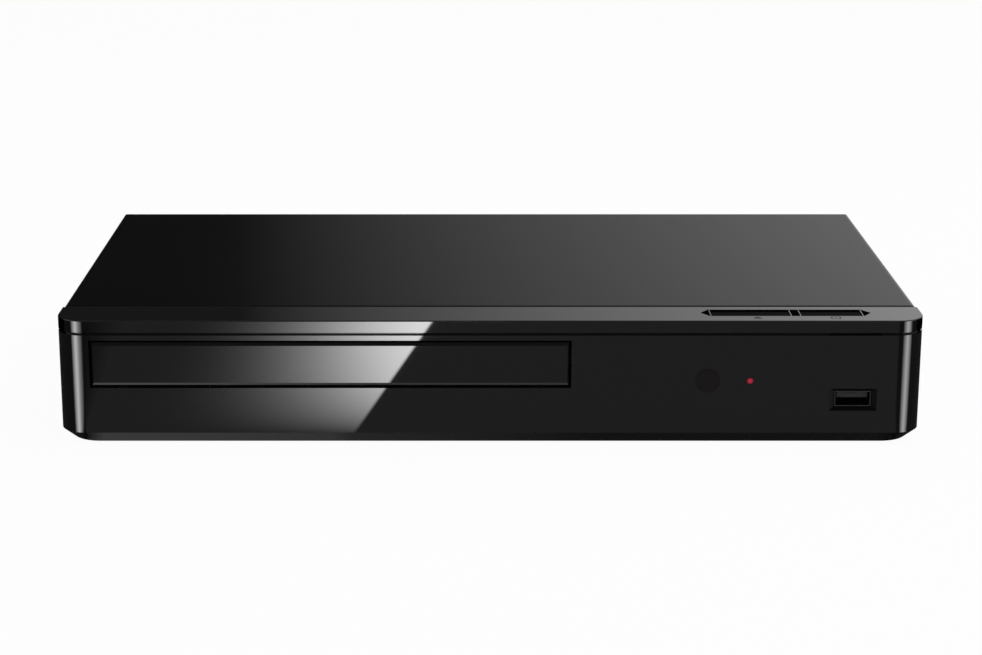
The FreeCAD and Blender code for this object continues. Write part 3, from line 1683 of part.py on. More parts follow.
def rod_clips():
    """Blocks on the mechanism plate that hold the guide rods and the feed screw's end."""
    clips = []
    high = rod_z + rod_radius + clip_wall
    for side in (-1, 1):
        x = loader_x + side * rod_offset
        half = rod_radius + clip_wall
        for start in (rod_start, rod_end - clip_length):
            clip = block((x - half, x + half), (start, start + clip_length), (sheet_top - 0.1, high))
            clips.append(clip)
    x = loader_x + feed_offset
    half = screw_thread_radius + clip_wall
    clips.append(block((x - half, x + half), (rod_end - clip_length, rod_end),
                       (sheet_top - 0.1, feed_z + screw_thread_radius + clip_wall)))
    return clips


def mechanism_plate():
    """Steel plate on the bushes that carries the spindle motor and the pickup."""
    half = deck_half - mechanism_margin
    plate = block((loader_x - half, loader_x + half), (deck_front + mechanism_front, deck_back - deck_beam),
                  (sheet_bottom, sheet_top))
    window = block((loader_x - mechanism_window, loader_x + mechanism_window),
                   (pickup_start, rod_end - clip_length), (sheet_bottom - 1, sheet_top + 1))
    motor_half = feed_motor_radius + air_gap / 2
    motor_window = block((loader_x + feed_offset - motor_half, loader_x + feed_offset + motor_half),
                         (feed_motor_start - air_gap, feed_motor_start + feed_motor_length),
                         (sheet_bottom - 1, sheet_top + 1))
    holes = [upright(lift_pin_radius + 2 * seat_gap, x, y, (0, top)) for x, y in bush_places()]
    plate = plate.cut([window, motor_window] + holes)
    plate = plate.fuse(rod_clips())
    bores = [along_y(rod_radius + seat_gap / 2, loader_x + side * rod_offset, rod_z, (front, rear))
             for side in (-1, 1)]
    bores.append(along_y(screw_thread_radius + running_gap, loader_x + feed_offset, feed_z, (0, rear)))
    return plate.cut(bores).removeSplitter()


def spindle_motor():
    """The still half of the spindle motor: base, bearing tube and wound core."""
    x, y = loader_x, disc_rest_y
    base_top = sheet_top + stator_base
    base = upright(stator_radius, x, y, (sheet_top, base_top))
    tube_top = rotor_bottom() + rotor_height - rotor_wall - slide_gap
    tube = upright(bearing_radius, x, y, (base_top - join, tube_top))
    core_z = rotor_bottom() + slide_gap
    core = upright(stator_core_radius, x, y, (core_z, core_z + stator_core_height))
    slots = []
    for index in range(stator_slots):
        angle = 2 * math.pi * index / stator_slots
        slots.append(upright(stator_slot_radius, x + stator_slot_circle * math.cos(angle),
                             y + stator_slot_circle * math.sin(angle), (core_z - 1, top)))
    bore = upright(spindle_radius + running_gap, x, y, (base_top - spindle_depth, top))
    neck = upright(bearing_radius + 2, x, y, (base_top - join, core_z + join))
    return base.fuse([tube, neck, core.cut(slots)]).cut(bore).removeSplitter()


def rotor_bottom():
    """Height of the spindle motor's turning can above the plate."""
    return sheet_top + stator_base + 2 * slide_gap


def turntable():
    """The turning can of the spindle motor, its shaft, and the table with the disc's hub."""
    x, y = loader_x, disc_rest_y
    z0 = rotor_bottom()
    z1 = z0 + rotor_height
    can = upright(rotor_radius, x, y, (z0, z1)).cut(upright(rotor_radius - rotor_wall, x, y,
                                                            (z0 - 1, z1 - rotor_wall)))
    shaft = upright(spindle_radius, x, y,
                    (sheet_top + stator_base - spindle_depth + spindle_end_gap, table_top))
    table = upright(table_radius, x, y, (table_top - table_height, table_top))
    neck = upright(hub_radius, x, y, (z1 - join, table_top))
    hub = Part.makeCone(hub_radius, hub_tip_radius, hub_height, Vector(x, y, table_top))
    return can.fuse([shaft, table, neck, hub]).removeSplitter()


def guide_rods():
    """Two steel rods that the pickup slides on."""
    return group([along_y(rod_radius, loader_x + side * rod_offset, rod_z, (rod_start, rod_end))
                  for side in (-1, 1)])


def feed_motor():
    """Small round motor with the bracket that stands on the mechanism plate."""
    x = loader_x + feed_offset
    end = feed_motor_start + feed_motor_length
    can = along_y(feed_motor_radius, x, feed_z, (feed_motor_start, end))
    half = feed_motor_radius + air_gap
    bracket = block((x - half, x + half), (end, end + feed_bracket), (sheet_top, feed_z + feed_motor_radius))
    bore = along_y(screw_thread_radius + running_gap, x, feed_z,
                   (end - feed_bore_depth, end + feed_bracket + 1))
    return can.fuse(bracket).cut(bore).removeSplitter()


def feed_screw():
    """The lead screw that moves the pickup, from the feed motor to its rear clip."""
    start = feed_motor_start + feed_motor_length - feed_shaft_reach
    return along_y(screw_thread_radius, loader_x + feed_offset, feed_z, (start, rod_end))


def lens_y():
    """Where the lens is with the pickup at its inner end."""
    return pickup_start + lens_set_in


def pickup_body():
    """Sled of the pickup: a bore for one rod, a fork for the other, a nut, and the lens's well."""
    ys = (pickup_start, pickup_start + pickup_length)
    sled = block((loader_x - pickup_half, loader_x + pickup_half), ys, (pickup_bottom, pickup_top))
    feed_x = loader_x + feed_offset
    nut_front = ys[0] + nut_set_in
    nut = block((loader_x + pickup_half - join, feed_x + nut_half), (nut_front, nut_front + nut_length),
                (feed_z + slide_gap, pickup_top))
    well_radius = lens_radius + lens_cell + lens_cell_play
    tower = upright(well_radius + lens_wall, loader_x, lens_y(), (pickup_top - join, lens_bottom() + 1))
    solid = sled.fuse([nut, tower])
    fork = rod_radius + running_gap
    cuts = [along_y(fork, loader_x - rod_offset, rod_z, (front, rear)),
            block((loader_x + rod_offset - fork - 0.5, loader_x + pickup_half + 1), (front, rear),
                  (rod_z - fork, rod_z + fork)).common(block((loader_x, feed_x - nut_half), (front, rear),
                                                             (0, top))),
            along_y(screw_thread_radius + running_gap, feed_x, feed_z, (front, rear)),
            upright(well_radius, loader_x, lens_y(), (lens_bottom(), top))]
    return solid.cut(cuts).removeSplitter()


def lens_bottom():
    """Height of the underside of the lens's cell."""
    return pickup_top - lens_well_depth


def objective_lens():
    """The lens in its round cell."""
    z = lens_bottom() + slide_gap
    cell = upright(lens_radius + lens_cell, loader_x, lens_y(), (z, z + lens_height))
    ball = 1.25 * lens_radius
    centre_z = z + lens_height - lens_dome * lens_radius
    lens = Part.makeSphere(ball, Vector(loader_x, lens_y(), centre_z))
    above = block((loader_x - ball, loader_x + ball), (lens_y() - ball, lens_y() + ball),
                  (z + lens_height - join, top))
    dome = lens.common(above)
    return cell.fuse(dome).removeSplitter()


# Screws


def cover_screws():
    """Three screws through the cover's rear flange."""
    return group([screw(Vector(x, rear_face, cover_screw_z), (0, -1, 0)) for x in cover_screw_xs()])


def chassis_screws():
    """Screws from below that hold the fascia and the rear panel to the chassis."""
    places = [(x, chassis_front + fascia_tab / 2) for x in fascia_screw_xs]
    places += [(x, panel_inside - panel_foot / 2) for x in panel_screw_xs]
    return group([screw(Vector(x, y, chassis_lift), (0, 0, 1), chassis_screw_length) for x, y in places])


def inner_screws():
    """Screws that hold the boards, the loader and the clamper bridge."""
    down = (0, 0, -1)
    screws = [screw(Vector(x, y, board_top), down) for x, y in main_holes + power_holes]
    screws += [screw(Vector(x, y, chassis_top + ear_height), down) for x, y in loader_ears()]
    screws += [screw(Vector(x, y, bridge_top), down) for x, y in bridge_screws()]
    screws += [screw(Vector(x, front_board_back, z), (0, -1, 0)) for x, z in front_posts]
    return group(screws)


def loader_board():
    """Small board on the loader's floor, beside the loading motor."""
    return block(loader_board_x, loader_board_y, (floor_top, loader_board_top))


def all_pieces():
    """Every piece of the player under its name."""
    return {
        "bottom_chassis": bottom_chassis(),
        "top_cover": top_cover(),
        "rear_panel": rear_panel(),
        "front_fascia": front_fascia(),
        "fascia_top_trim": fascia_top_trim(),
        "rubber_feet": rubber_feet(),
        "cover_screws": cover_screws(),
        "chassis_screws": chassis_screws(),
        "inner_screws": inner_screws(),
        "ir_window": collared_pin(window_radius, window_x, foot_reveal + window_z,
                                  fascia_wall + collar_thickness),
        "led_light_pipe": collared_pin(light_radius, light_x, foot_reveal + light_z, light_pipe_length),
        "open_close_button": button_key(key_left_start, key_left_length),
        "power_button": button_key(key_right_start, key_right_length),
        "open_switch_plunger": switch_plunger(key_left_start, key_left_length),
        "power_switch_plunger": switch_plunger(key_right_start, key_right_length),
        "front_board": front_board(),
        "tact_switches": tact_switches(),
        "power_led": power_led(),
        "ir_receiver": ir_receiver(),
        "usb_socket_shell": usb_socket_shell(),
        "usb_socket_tongue": usb_socket_tongue(),
        "main_board": flat_board(main_left, main_right, main_board_y, main_holes),
        "board_chips": board_chips(),
        "processor_heat_sink": processor_heat_sink(),
        "power_board": flat_board(power_left, power_right, power_board_y, power_holes),
        "power_transformer": power_transformer(),
        "power_capacitors": power_capacitors(),
        "mains_filter_coil": mains_filter_coil(),
        "power_heat_sink": power_heat_sink(),
        "mains_inlet": mains_inlet(),
        "inlet_pins": inlet_pins(),
        "hdmi_socket": hdmi_socket(),
        "lan_socket": lan_socket(),
        "board_connectors": board_connectors(),
        "front_ribbon_cable": front_ribbon_cable(),
        "drive_ribbon_cable": drive_ribbon_cable(),
        "power_cable": power_cable(),
        "loader_frame": loader_frame(),
        "loader_board": loader_board(),
        "clamper_bridge": clamper_bridge(),
        "clamper_puck": clamper_puck(),
        "tray": tray(),
        "tray_door": tray_door(),
        "drive_gear": drive_gear(),
        "pulley_gear": pulley_gear(),
        "motor_pulley": motor_pulley(),
        "drive_belt": drive_belt(),
        "loading_motor": loading_motor(),
        "cam_slider": cam_slider(),
        "traverse_frame": lowered(traverse_frame()),
        "traverse_bushes": lowered(traverse_bushes()),
        "mechanism_plate": lowered(mechanism_plate()),
        "spindle_motor": lowered(spindle_motor()),
        "turntable": lowered(turntable()),
        "guide_rods": lowered(guide_rods()),
        "feed_motor": lowered(feed_motor()),
        "feed_screw": lowered(feed_screw()),
        "pickup_body": lowered(pickup_body()),
        "objective_lens": lowered(objective_lens()),
    }


os.makedirs("parts", exist_ok=True)
for name, shape in all_pieces().items():
    shape.exportStep(os.path.join("parts", name + ".step"))
    print(name, len(shape.Solids), "valid" if shape.isValid() else "NOT VALID", round(shape.Volume, 1))
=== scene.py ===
"""The looks of a compact disc player: a finish for each of its solids, the small pieces that they
carry, and a plain stage to see it on."""
import math

import bpy
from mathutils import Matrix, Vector


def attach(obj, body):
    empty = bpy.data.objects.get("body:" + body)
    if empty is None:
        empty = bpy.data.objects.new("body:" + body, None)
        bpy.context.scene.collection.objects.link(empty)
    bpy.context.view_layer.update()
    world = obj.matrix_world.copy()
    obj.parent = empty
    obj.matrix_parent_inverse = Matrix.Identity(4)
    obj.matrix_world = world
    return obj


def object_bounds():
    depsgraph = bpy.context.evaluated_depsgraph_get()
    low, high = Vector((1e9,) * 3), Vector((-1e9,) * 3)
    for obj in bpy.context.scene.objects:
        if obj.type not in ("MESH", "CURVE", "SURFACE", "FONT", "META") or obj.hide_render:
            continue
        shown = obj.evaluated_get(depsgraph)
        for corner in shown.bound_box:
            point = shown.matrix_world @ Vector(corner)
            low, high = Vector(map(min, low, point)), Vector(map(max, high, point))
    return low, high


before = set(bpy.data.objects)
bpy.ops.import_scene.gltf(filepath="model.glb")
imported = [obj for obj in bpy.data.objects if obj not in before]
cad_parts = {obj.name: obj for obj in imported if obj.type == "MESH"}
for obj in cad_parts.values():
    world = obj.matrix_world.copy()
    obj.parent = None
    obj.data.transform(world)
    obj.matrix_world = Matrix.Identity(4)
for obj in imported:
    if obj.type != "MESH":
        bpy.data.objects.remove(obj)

bl_info = {
    "name": "Disc player looks",
    "version": (1, 0, 0),
    "blender": (4, 5, 0),
    "location": "View3D > Sidebar > Player",
    "description": "Finishes and small parts of a compact disc player",
    "category": "Object",
}

MM = 0.001
FRAME_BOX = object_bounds()
SENSOR = 36.0                     # width of the camera's sensor, in mm
WHITE = (1.0, 1.0, 1.0, 1.0)
# The keys' own black, and also the colour of the painted shade in the front socket's mouth and the key
# recess.
DEEP_BLACK = (0.001, 0.001, 0.001)
SOFT_EDGE = 0.00004               # half the soft edge of a printed mark, in metres
WAVE_SPAN = 0.314                 # length of one band of a wave texture whose scale is 1
USB_X = 131.3                     # middle of the front socket, in mm


# Drawing a material

def add(tree, kind, inputs=None, **settings):
    """A new node with its settings; an input is a number, a colour or another node's socket."""
    node = tree.nodes.new(kind)
    for key, value in settings.items():
        setattr(node, key, value)
    for key, value in (inputs or {}).items():
        if isinstance(value, bpy.types.NodeSocket):
            tree.links.new(value, node.inputs[key])
        else:
            node.inputs[key].default_value = value
    return node


def toned(colour, share):
    """A colour made lighter or darker by a share."""
    return [min(1.0, part * share) for part in colour]


class Finish:
    """One material while its nodes are being laid. Sizes of its patterns are in millimetres."""
    shader_inputs = {
        "colour": "Base Color", "roughness": "Roughness", "metallic": "Metallic", "ior": "IOR",
        "normal": "Normal", "specular": "Specular IOR Level", "coat": "Coat Weight",
        "glow": "Emission Color", "glow_strength": "Emission Strength",
        "transmission": "Transmission Weight"}

    def __init__(self, name):
        self.material = bpy.data.materials.get(name) or bpy.data.materials.new(name)
        self.material.use_nodes = True
        self.tree = self.material.node_tree
        self.tree.nodes.clear()
        self.place = add(self.tree, "ShaderNodeTexCoord").outputs["Object"]

    def put(self, socket, value):
        """Link a socket to another, or set it to a number or colour."""
        if isinstance(value, bpy.types.NodeSocket):
            self.tree.links.new(value, socket)
        else:
            socket.default_value = (*value, 1.0) if hasattr(value, "__len__") else value

    def axes(self):
        """The place's three coordinates, in metres."""
        return add(self.tree, "ShaderNodeSeparateXYZ", {"Vector": self.place}).outputs

    def stretched(self, scale):
        """The place on the piece, drawn out along the axes where the scale is small."""
        return add(self.tree, "ShaderNodeMapping", {"Vector": self.place, "Scale": scale}).outputs[0]

    def noise(self, size, detail=2.0, place=None):
        """Cloudy noise from 0 to 1 whose patches are about that many millimetres across."""
        return add(self.tree, "ShaderNodeTexNoise", {
            "Vector": place or self.place, "Scale": 1.0 / (size * MM), "Detail": detail}).outputs["Fac"]

    def cells(self, size, output="Distance", **settings):
        """Scattered cells of that size: the distance from their middles, or a random colour for each."""
        return add(self.tree, "ShaderNodeTexVoronoi", {
            "Vector": self.place, "Scale": 1.0 / (size * MM)}, **settings).outputs[output]

    def maths(self, operation, first, *others):
        """The result of an operation on one number, or on several from left to right."""
        for other in others or (0.0,):
            node = add(self.tree, "ShaderNodeMath", operation=operation)
            for socket, value in zip(node.inputs, (first, other)):
                self.put(socket, value)
            first = node.outputs[0]
        return first

    def length(self, first, second):
        """The length of a line from its extents along two axes."""
        squares = [self.maths("MULTIPLY", extent, extent) for extent in (first, second)]
        return self.maths("SQRT", self.maths("ADD", *squares))

    def between(self, factor, low, high, start=0.3, end=0.7):
        """A number that goes from low to high as the factor goes from start to end. The start and end
        given here are for a noise."""
        return add(self.tree, "ShaderNodeMapRange", {
            "Value": factor, "From Min": start, "From Max": end,
            "To Min": low, "To Max": high}).outputs["Result"]

    def rises(self, value, start, end):
        """0 up to the start, and 1 from the end on."""
        return self.between(value, 0.0, 1.0, start, end)

    def falls(self, value, start, end):
        """1 up to the start, and 0 from the end on."""
        return self.between(value, 1.0, 0.0, start, end)

    def above(self, value, limit):
        """1 where a number lies above a limit, with a narrow soft edge."""
        return self.rises(value, limit - SOFT_EDGE, limit + SOFT_EDGE)

    def below(self, value, limit):
        """1 where a number lies below a limit, with a narrow soft edge."""
        return self.falls(value, limit - SOFT_EDGE, limit + SOFT_EDGE)

    def within(self, value, low, high):
        """1 where a number lies between two limits."""
        return self.maths("SUBTRACT", self.above(value, low), self.above(value, high))

    def mixed(self, factor, first, second, data_type="RGBA"):
        """A colour between two, or a number between two where the type is FLOAT."""
        node = add(self.tree, "ShaderNodeMix", data_type=data_type)
        pair, result = {"FLOAT": (2, 0), "RGBA": (6, 2)}[data_type]
        for place, value in ((0, factor), (pair, first), (pair + 1, second)):
            self.put(node.inputs[place], value)
        return node.outputs[result]

    def bump(self, height, depth):
        """A normal that rises and falls by that many millimetres."""
        return add(self.tree, "ShaderNodeBump", {"Height": height, "Distance": depth * MM}).outputs["Normal"]

    def done(self, **inputs):
        """Close the material with one shader."""
        shader = add(self.tree, "ShaderNodeBsdfPrincipled")
        for key, value in inputs.items():
            self.put(shader.inputs[self.shader_inputs[key]], value)
        add(self.tree, "ShaderNodeOutputMaterial", {"Surface": shader.outputs[0]})
        return self.material


def wiped(finish, cloud, roughness):
    """Roughness of a polished face with hair-fine wiping marks."""
    hairs = finish.noise(0.5, 2.0, finish.stretched((0.05, 1.0, 1.0)))
    return finish.maths("ADD", finish.between(cloud, roughness * 0.8, roughness * 1.2),
                        finish.between(hairs, 0.0, roughness * 0.3, 0.55, 0.8))


def polished(name, colour, roughness, specular=0.5):
    """Polished moulded plastic: faint cloudiness in the gloss, and hair-fine wiping marks."""
    finish = Finish(name)
    cloud = finish.noise(40.0, 3.0)
    return finish.done(
        colour=finish.mixed(cloud, colour, toned(colour, 1.15)),
        roughness=wiped(finish, cloud, roughness), specular=specular)


def moulded(name, colour, roughness, grain=0.35, height=0.02):
    """Moulded plastic with a fine spark-eroded grain."""
    finish = Finish(name)
    fine = finish.noise(grain, 3.0)
    broad = finish.noise(25.0)
    return finish.done(
        colour=finish.mixed(broad, toned(colour, 0.88), toned(colour, 1.1)),
        roughness=finish.between(fine, roughness - 0.06, roughness + 0.08),
        normal=finish.bump(fine, height), specular=0.4)


def painted(name, colour, roughness, specular=0.5):
    """Sprayed satin paint on sheet metal, with the slight orange peel of such a coat."""
    finish = Finish(name)
    peel = finish.noise(0.9)
    dust = finish.noise(0.18)
    height = finish.maths("ADD", peel, finish.maths("MULTIPLY", dust, 0.35))
    return finish.done(
        colour=finish.mixed(finish.noise(60.0), toned(colour, 0.9), toned(colour, 1.12)),
        roughness=finish.between(dust, roughness - 0.04, roughness + 0.05),
        normal=finish.bump(height, 0.012), specular=specular)


def plated(name, colour, roughness, along=(0.04, 1.0, 1.0), spangle=0.0):
    """Plated metal, rolled or ground along one axis; zinc sheet has large faint crystals too."""
    finish = Finish(name)
    lines = finish.noise(0.25, 4.0, finish.stretched(along))
    shine = finish.between(lines, roughness - 0.07, roughness + 0.09)
    tone = lines
    if spangle:
        crystals = finish.cells(spangle, "Color")
        tone = finish.maths("ADD", finish.maths("MULTIPLY", lines, 0.5),
                            finish.maths("MULTIPLY", crystals, 0.5))
        shine = finish.maths("ADD", shine, finish.maths("MULTIPLY", crystals, 0.08))
    return finish.done(
        colour=finish.mixed(tone, toned(colour, 0.86), toned(colour, 1.08)),
        roughness=shine, metallic=1.0, normal=finish.bump(lines, 0.004))


def rubbery(name, colour):
    """Matt rubber with a dusty skin."""
    finish = Finish(name)
    fine = finish.noise(0.3, 4.0)
    return finish.done(
        colour=finish.mixed(finish.noise(3.0, 3.0), toned(colour, 0.8), toned(colour, 1.3)),
        roughness=finish.between(fine, 0.72, 0.9), normal=finish.bump(fine, 0.03), specular=0.3)


def printed_board(name, colour, copper):
    """A board with its tracks showing faintly through the lacquer, and small plated holes."""
    finish = Finish(name)
    steps = finish.cells(5.0, distance="CHEBYCHEV", feature="F1")
    tracks = finish.maths("FRACT", finish.maths("MULTIPLY", steps, 7.0))
    lines = finish.rises(tracks, 0.35, 0.5)
    holes = finish.falls(finish.cells(2.6), 0.09, 0.12)
    weave = finish.noise(0.4)
    lacquer = finish.mixed(lines, toned(colour, 0.75), toned(colour, 1.25))
    return finish.done(
        colour=finish.mixed(holes, lacquer, copper), metallic=finish.maths("MULTIPLY", holes, 0.9),
        roughness=finish.between(weave, 0.3, 0.45),
        normal=finish.bump(finish.maths("ADD", lines, finish.maths("MULTIPLY", weave, 0.2)), 0.03))


def banded(name, colour, band, pitch, roughness):
    """Fine parallel bands along X, as on windings, tape and flat cable."""
    finish = Finish(name)
    wave = add(finish.tree, "ShaderNodeTexWave", {
        "Vector": finish.place, "Scale": WAVE_SPAN / (pitch * MM), "Distortion": 0.4, "Detail": 1.0},
        bands_direction="X").outputs["Fac"]
    return finish.done(
        colour=finish.mixed(finish.rises(wave, 0.2, 0.5), band, colour), roughness=roughness,
        normal=finish.bump(wave, 0.05))


def pilot(name, middle, radius, core, rim, strength):
    """Clear coloured plastic with a light behind it, dimmer towards its rim."""
    finish = Finish(name)
    axes = finish.axes()
    reach = finish.length(*(finish.maths("SUBTRACT", axes[axis], value) for axis, value in zip("XZ", middle)))
    return finish.done(
        colour=finish.mixed(finish.noise(0.6), rim, core), roughness=0.12, specular=0.5,
        glow=finish.mixed(finish.rises(reach, radius * 0.35, radius), core, rim), glow_strength=strength)


def clear_lens(name, colour):
    """A coated glass lens."""
    finish = Finish(name)
    return finish.done(
        colour=finish.mixed(finish.noise(2.0), colour, toned(colour, 0.9)),
        roughness=0.02, transmission=0.9, ior=1.6, coat=0.5)


# Patterns of small pieces

def new_tree(name, inputs):
    """An empty Geometry Nodes group, and its inputs by name."""
    tree = bpy.data.node_groups.new(name, "GeometryNodeTree")
    tree.interface.new_socket("Geometry", in_out="OUTPUT", socket_type="NodeSocketGeometry")
    for label, kind in inputs:
        tree.interface.new_socket(label, in_out="INPUT", socket_type="NodeSocket" + kind)
    return tree, tree.nodes.new("NodeGroupInput").outputs


def close_tree(tree, geometry, material):
    """Make the copies real, give them their material and hand them out."""
    real = add(tree, "GeometryNodeRealizeInstances", {"Geometry": geometry})
    dressed = add(tree, "GeometryNodeSetMaterial", {"Geometry": real.outputs[0], "Material": material})
    tree.links.new(dressed.outputs[0], tree.nodes.new("NodeGroupOutput").inputs[0])
    return tree


def lattice_tree():
    """Copies of a small block or round peg in rows, rows side by side, and sets of such rows."""
    tree, given = new_tree("lattice", (
        ("Size", "Vector"), ("Round", "Bool"), ("Start", "Vector"), ("Count", "Int"), ("Step", "Vector"),
        ("Rows", "Int"), ("Row step", "Vector"), ("Sets", "Int"), ("Set step", "Vector"),
        ("Material", "Material")))
    block = add(tree, "GeometryNodeMeshCube", {"Size": (1.0, 1.0, 1.0)})
    peg = add(tree, "GeometryNodeMeshCylinder", {"Vertices": 16, "Radius": 0.5, "Depth": 1.0})
    unit = add(tree, "GeometryNodeSwitch", {
        "Switch": given["Round"], "False": block.outputs[0], "True": peg.outputs[0]}, input_type="GEOMETRY")
    copies = add(tree, "GeometryNodeTransform", {"Geometry": unit.outputs[0], "Scale": given["Size"]})
    for count, step, start in (("Count", "Step", (0, 0, 0)), ("Rows", "Row step", (0, 0, 0)),
                               ("Sets", "Set step", given["Start"])):
        line = add(tree, "GeometryNodeMeshLine", {
            "Count": given[count], "Start Location": start, "Offset": given[step]}, mode="OFFSET")
        copies = add(tree, "GeometryNodeInstanceOnPoints", {
            "Points": line.outputs[0], "Instance": copies.outputs[0]})
    return close_tree(tree, copies.outputs[0], given["Material"])


def winding_tree():
    """Turns of wire round a ring core that stands upright with its axis along X."""
    tree, given = new_tree("winding", (
        ("Turns", "Int"), ("Middle radius", "Float"), ("Width", "Float"), ("Height", "Float"),
        ("Wire", "Float"), ("Centre", "Vector"), ("Material", "Material")))
    ring = add(tree, "GeometryNodeMeshCircle", {
        "Vertices": given["Turns"], "Radius": given["Middle radius"]})
    loop = add(tree, "GeometryNodeCurvePrimitiveQuadrilateral", {
        "Width": given["Width"], "Height": given["Height"]})
    corner = add(tree, "ShaderNodeMath", {0: given["Wire"], 1: 2.0}, operation="MULTIPLY")
    bends = add(tree, "GeometryNodeFilletCurve", {
        "Curve": loop.outputs[0], "Radius": corner.outputs[0], "Count": 3}, mode="POLY")
    profile = add(tree, "GeometryNodeCurvePrimitiveCircle", {"Resolution": 8, "Radius": given["Wire"]})
    turn = add(tree, "GeometryNodeCurveToMesh", {
        "Curve": bends.outputs[0], "Profile Curve": profile.outputs[0]})
    index = add(tree, "GeometryNodeInputIndex")
    share = add(tree, "ShaderNodeMath", {0: index.outputs[0], 1: given["Turns"]}, operation="DIVIDE")
    angle = add(tree, "ShaderNodeMath", {0: share.outputs[0], 1: 2 * math.pi}, operation="MULTIPLY")
    lean = add(tree, "ShaderNodeCombineXYZ", {"X": math.pi / 2, "Z": angle.outputs[0]})
    copies = add(tree, "GeometryNodeInstanceOnPoints", {
        "Points": ring.outputs[0], "Instance": turn.outputs[0], "Rotation": lean.outputs[0]})
    stood = add(tree, "GeometryNodeTransform", {
        "Geometry": copies.outputs[0], "Translation": given["Centre"], "Rotation": (0.0, math.pi / 2, 0.0)})
    return close_tree(tree, stood.outputs[0], given["Material"])


def shown(name, mesh):
    """A new object for a mesh, at the origin."""
    piece = bpy.data.objects.new(name, mesh)
    bpy.context.scene.collection.objects.link(piece)
    return piece


def grown(name, tree, values, smooth=False, body="casing"):
    """Run a Geometry Nodes group with its inputs, and keep what it makes as a plain mesh on a body."""
    seed = shown(name + "_seed", bpy.data.meshes.new(name + "_seed"))
    modifier = seed.modifiers.new("nodes", "NODES")
    modifier.node_group = tree
    sockets = {item.name: item.identifier for item in tree.interface.items_tree if item.in_out == "INPUT"}
    for label, value in values.items():
        modifier[sockets[label]] = value
    bpy.context.view_layer.update()
    mesh = bpy.data.meshes.new_from_object(seed.evaluated_get(bpy.context.evaluated_depsgraph_get()))
    bpy.data.objects.remove(seed)
    mesh.name = name
    if smooth:
        mesh.shade_smooth()
    piece = shown(name, mesh)
    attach(piece, body)
    return piece


def in_rows(name, material, size, start, count, step, rows=1, row_step=(0, 0, 0), sets=1,
            set_step=(0, 0, 0), peg=False, body="casing"):
    """A lattice of blocks or pegs; the start is the first one's middle, and all lengths are millimetres."""
    tree = bpy.data.node_groups.get("lattice") or lattice_tree()
    vectors = {"Size": size, "Start": start, "Step": step, "Row step": row_step, "Set step": set_step}
    values = {label: [float(v) * MM for v in value] for label, value in vectors.items()}
    values.update({"Round": peg, "Count": count, "Rows": rows, "Sets": sets, "Material": material})
    return grown(name, tree, values, body=body)


def first_of(middle, count, pitch):
    """Where a row of pieces starts that has its middle at a given place."""
    return middle - pitch * (count - 1) / 2


# The stage

def sheet_of(name, corners, material):
    """A flat sheet between four corners."""
    mesh = bpy.data.meshes.new(name)
    mesh.from_pydata(corners, [], [(0, 1, 2, 3)])
    mesh.materials.append(material)
    return shown(name, mesh)


def level_sheet(name, x, y, z, material):
    """A flat level sheet that faces up where x rises, and down where it falls."""
    return sheet_of(name, [(x[0], y[0], z), (x[1], y[0], z), (x[1], y[1], z), (x[0], y[1], z)], material)


def upright_sheet(name, x, y, z, material):
    """A flat upright sheet along X that faces towards -Y where x rises, and towards +Y where it falls."""
    return sheet_of(name, [(x[0], y, z[0]), (x[1], y, z[0]), (x[1], y, z[1]), (x[0], y, z[1])], material)


def background_rays(tree):
    """1 where a ray comes from the camera, a gloss or a clear piece, and 0 on rays that carry light."""
    path = add(tree, "ShaderNodeLightPath").outputs
    seen = path["Is Camera Ray"]
    for kind in ("Is Glossy Ray", "Is Transmission Ray"):
        seen = add(tree, "ShaderNodeMath", {0: seen, 1: path[kind]}, operation="MAXIMUM").outputs[0]
    return seen


def pale_floor(name, share):
    """White for what looks at it, with a share of real shading so that the shadow stays."""
    finish = Finish(name)
    tree = finish.tree
    matt = add(tree, "ShaderNodeBsdfDiffuse", {
        "Color": finish.mixed(finish.noise(30.0), (0.79, 0.79, 0.79), (0.81, 0.81, 0.81))})
    white = add(tree, "ShaderNodeEmission", {"Color": WHITE, "Strength": 1.0})
    factor = finish.maths("MULTIPLY", background_rays(tree), share)
    both = add(tree, "ShaderNodeMixShader", {0: factor, 1: matt.outputs[0], 2: white.outputs[0]})
    add(tree, "ShaderNodeOutputMaterial", {"Surface": both.outputs[0]})
    return finish.material


def area_light(name, place, size, target, power):
    """A soft box that faces a point."""
    light = bpy.data.lights.new(name, "AREA")
    light.shape = "RECTANGLE"
    light.size, light.size_y = size
    light.energy = power
    lamp = bpy.data.objects.new(name, light)
    lamp.location = place
    lamp.rotation_euler = (Vector(target) - Vector(place)).to_track_quat("-Z", "Y").to_euler()
    bpy.context.scene.collection.objects.link(lamp)


def only_in_reflections(card):
    """A studio card that shows only in the gloss of the pieces, as one just outside a picture does."""
    card.visible_camera = False
    card.visible_diffuse = False
    card.visible_transmission = False
    card.visible_volume_scatter = False
    card.visible_shadow = False


def one_sided(finish, strength):
    """Glow by that strength on the face's front only."""
    tree = finish.tree
    light = add(tree, "ShaderNodeEmission", {"Color": WHITE, "Strength": strength})
    back = add(tree, "ShaderNodeNewGeometry").outputs["Backfacing"]
    clear = add(tree, "ShaderNodeBsdfTransparent")
    both = add(tree, "ShaderNodeMixShader", {0: back, 1: light.outputs[0], 2: clear.outputs[0]})
    add(tree, "ShaderNodeOutputMaterial", {"Surface": both.outputs[0]})
    return finish.material


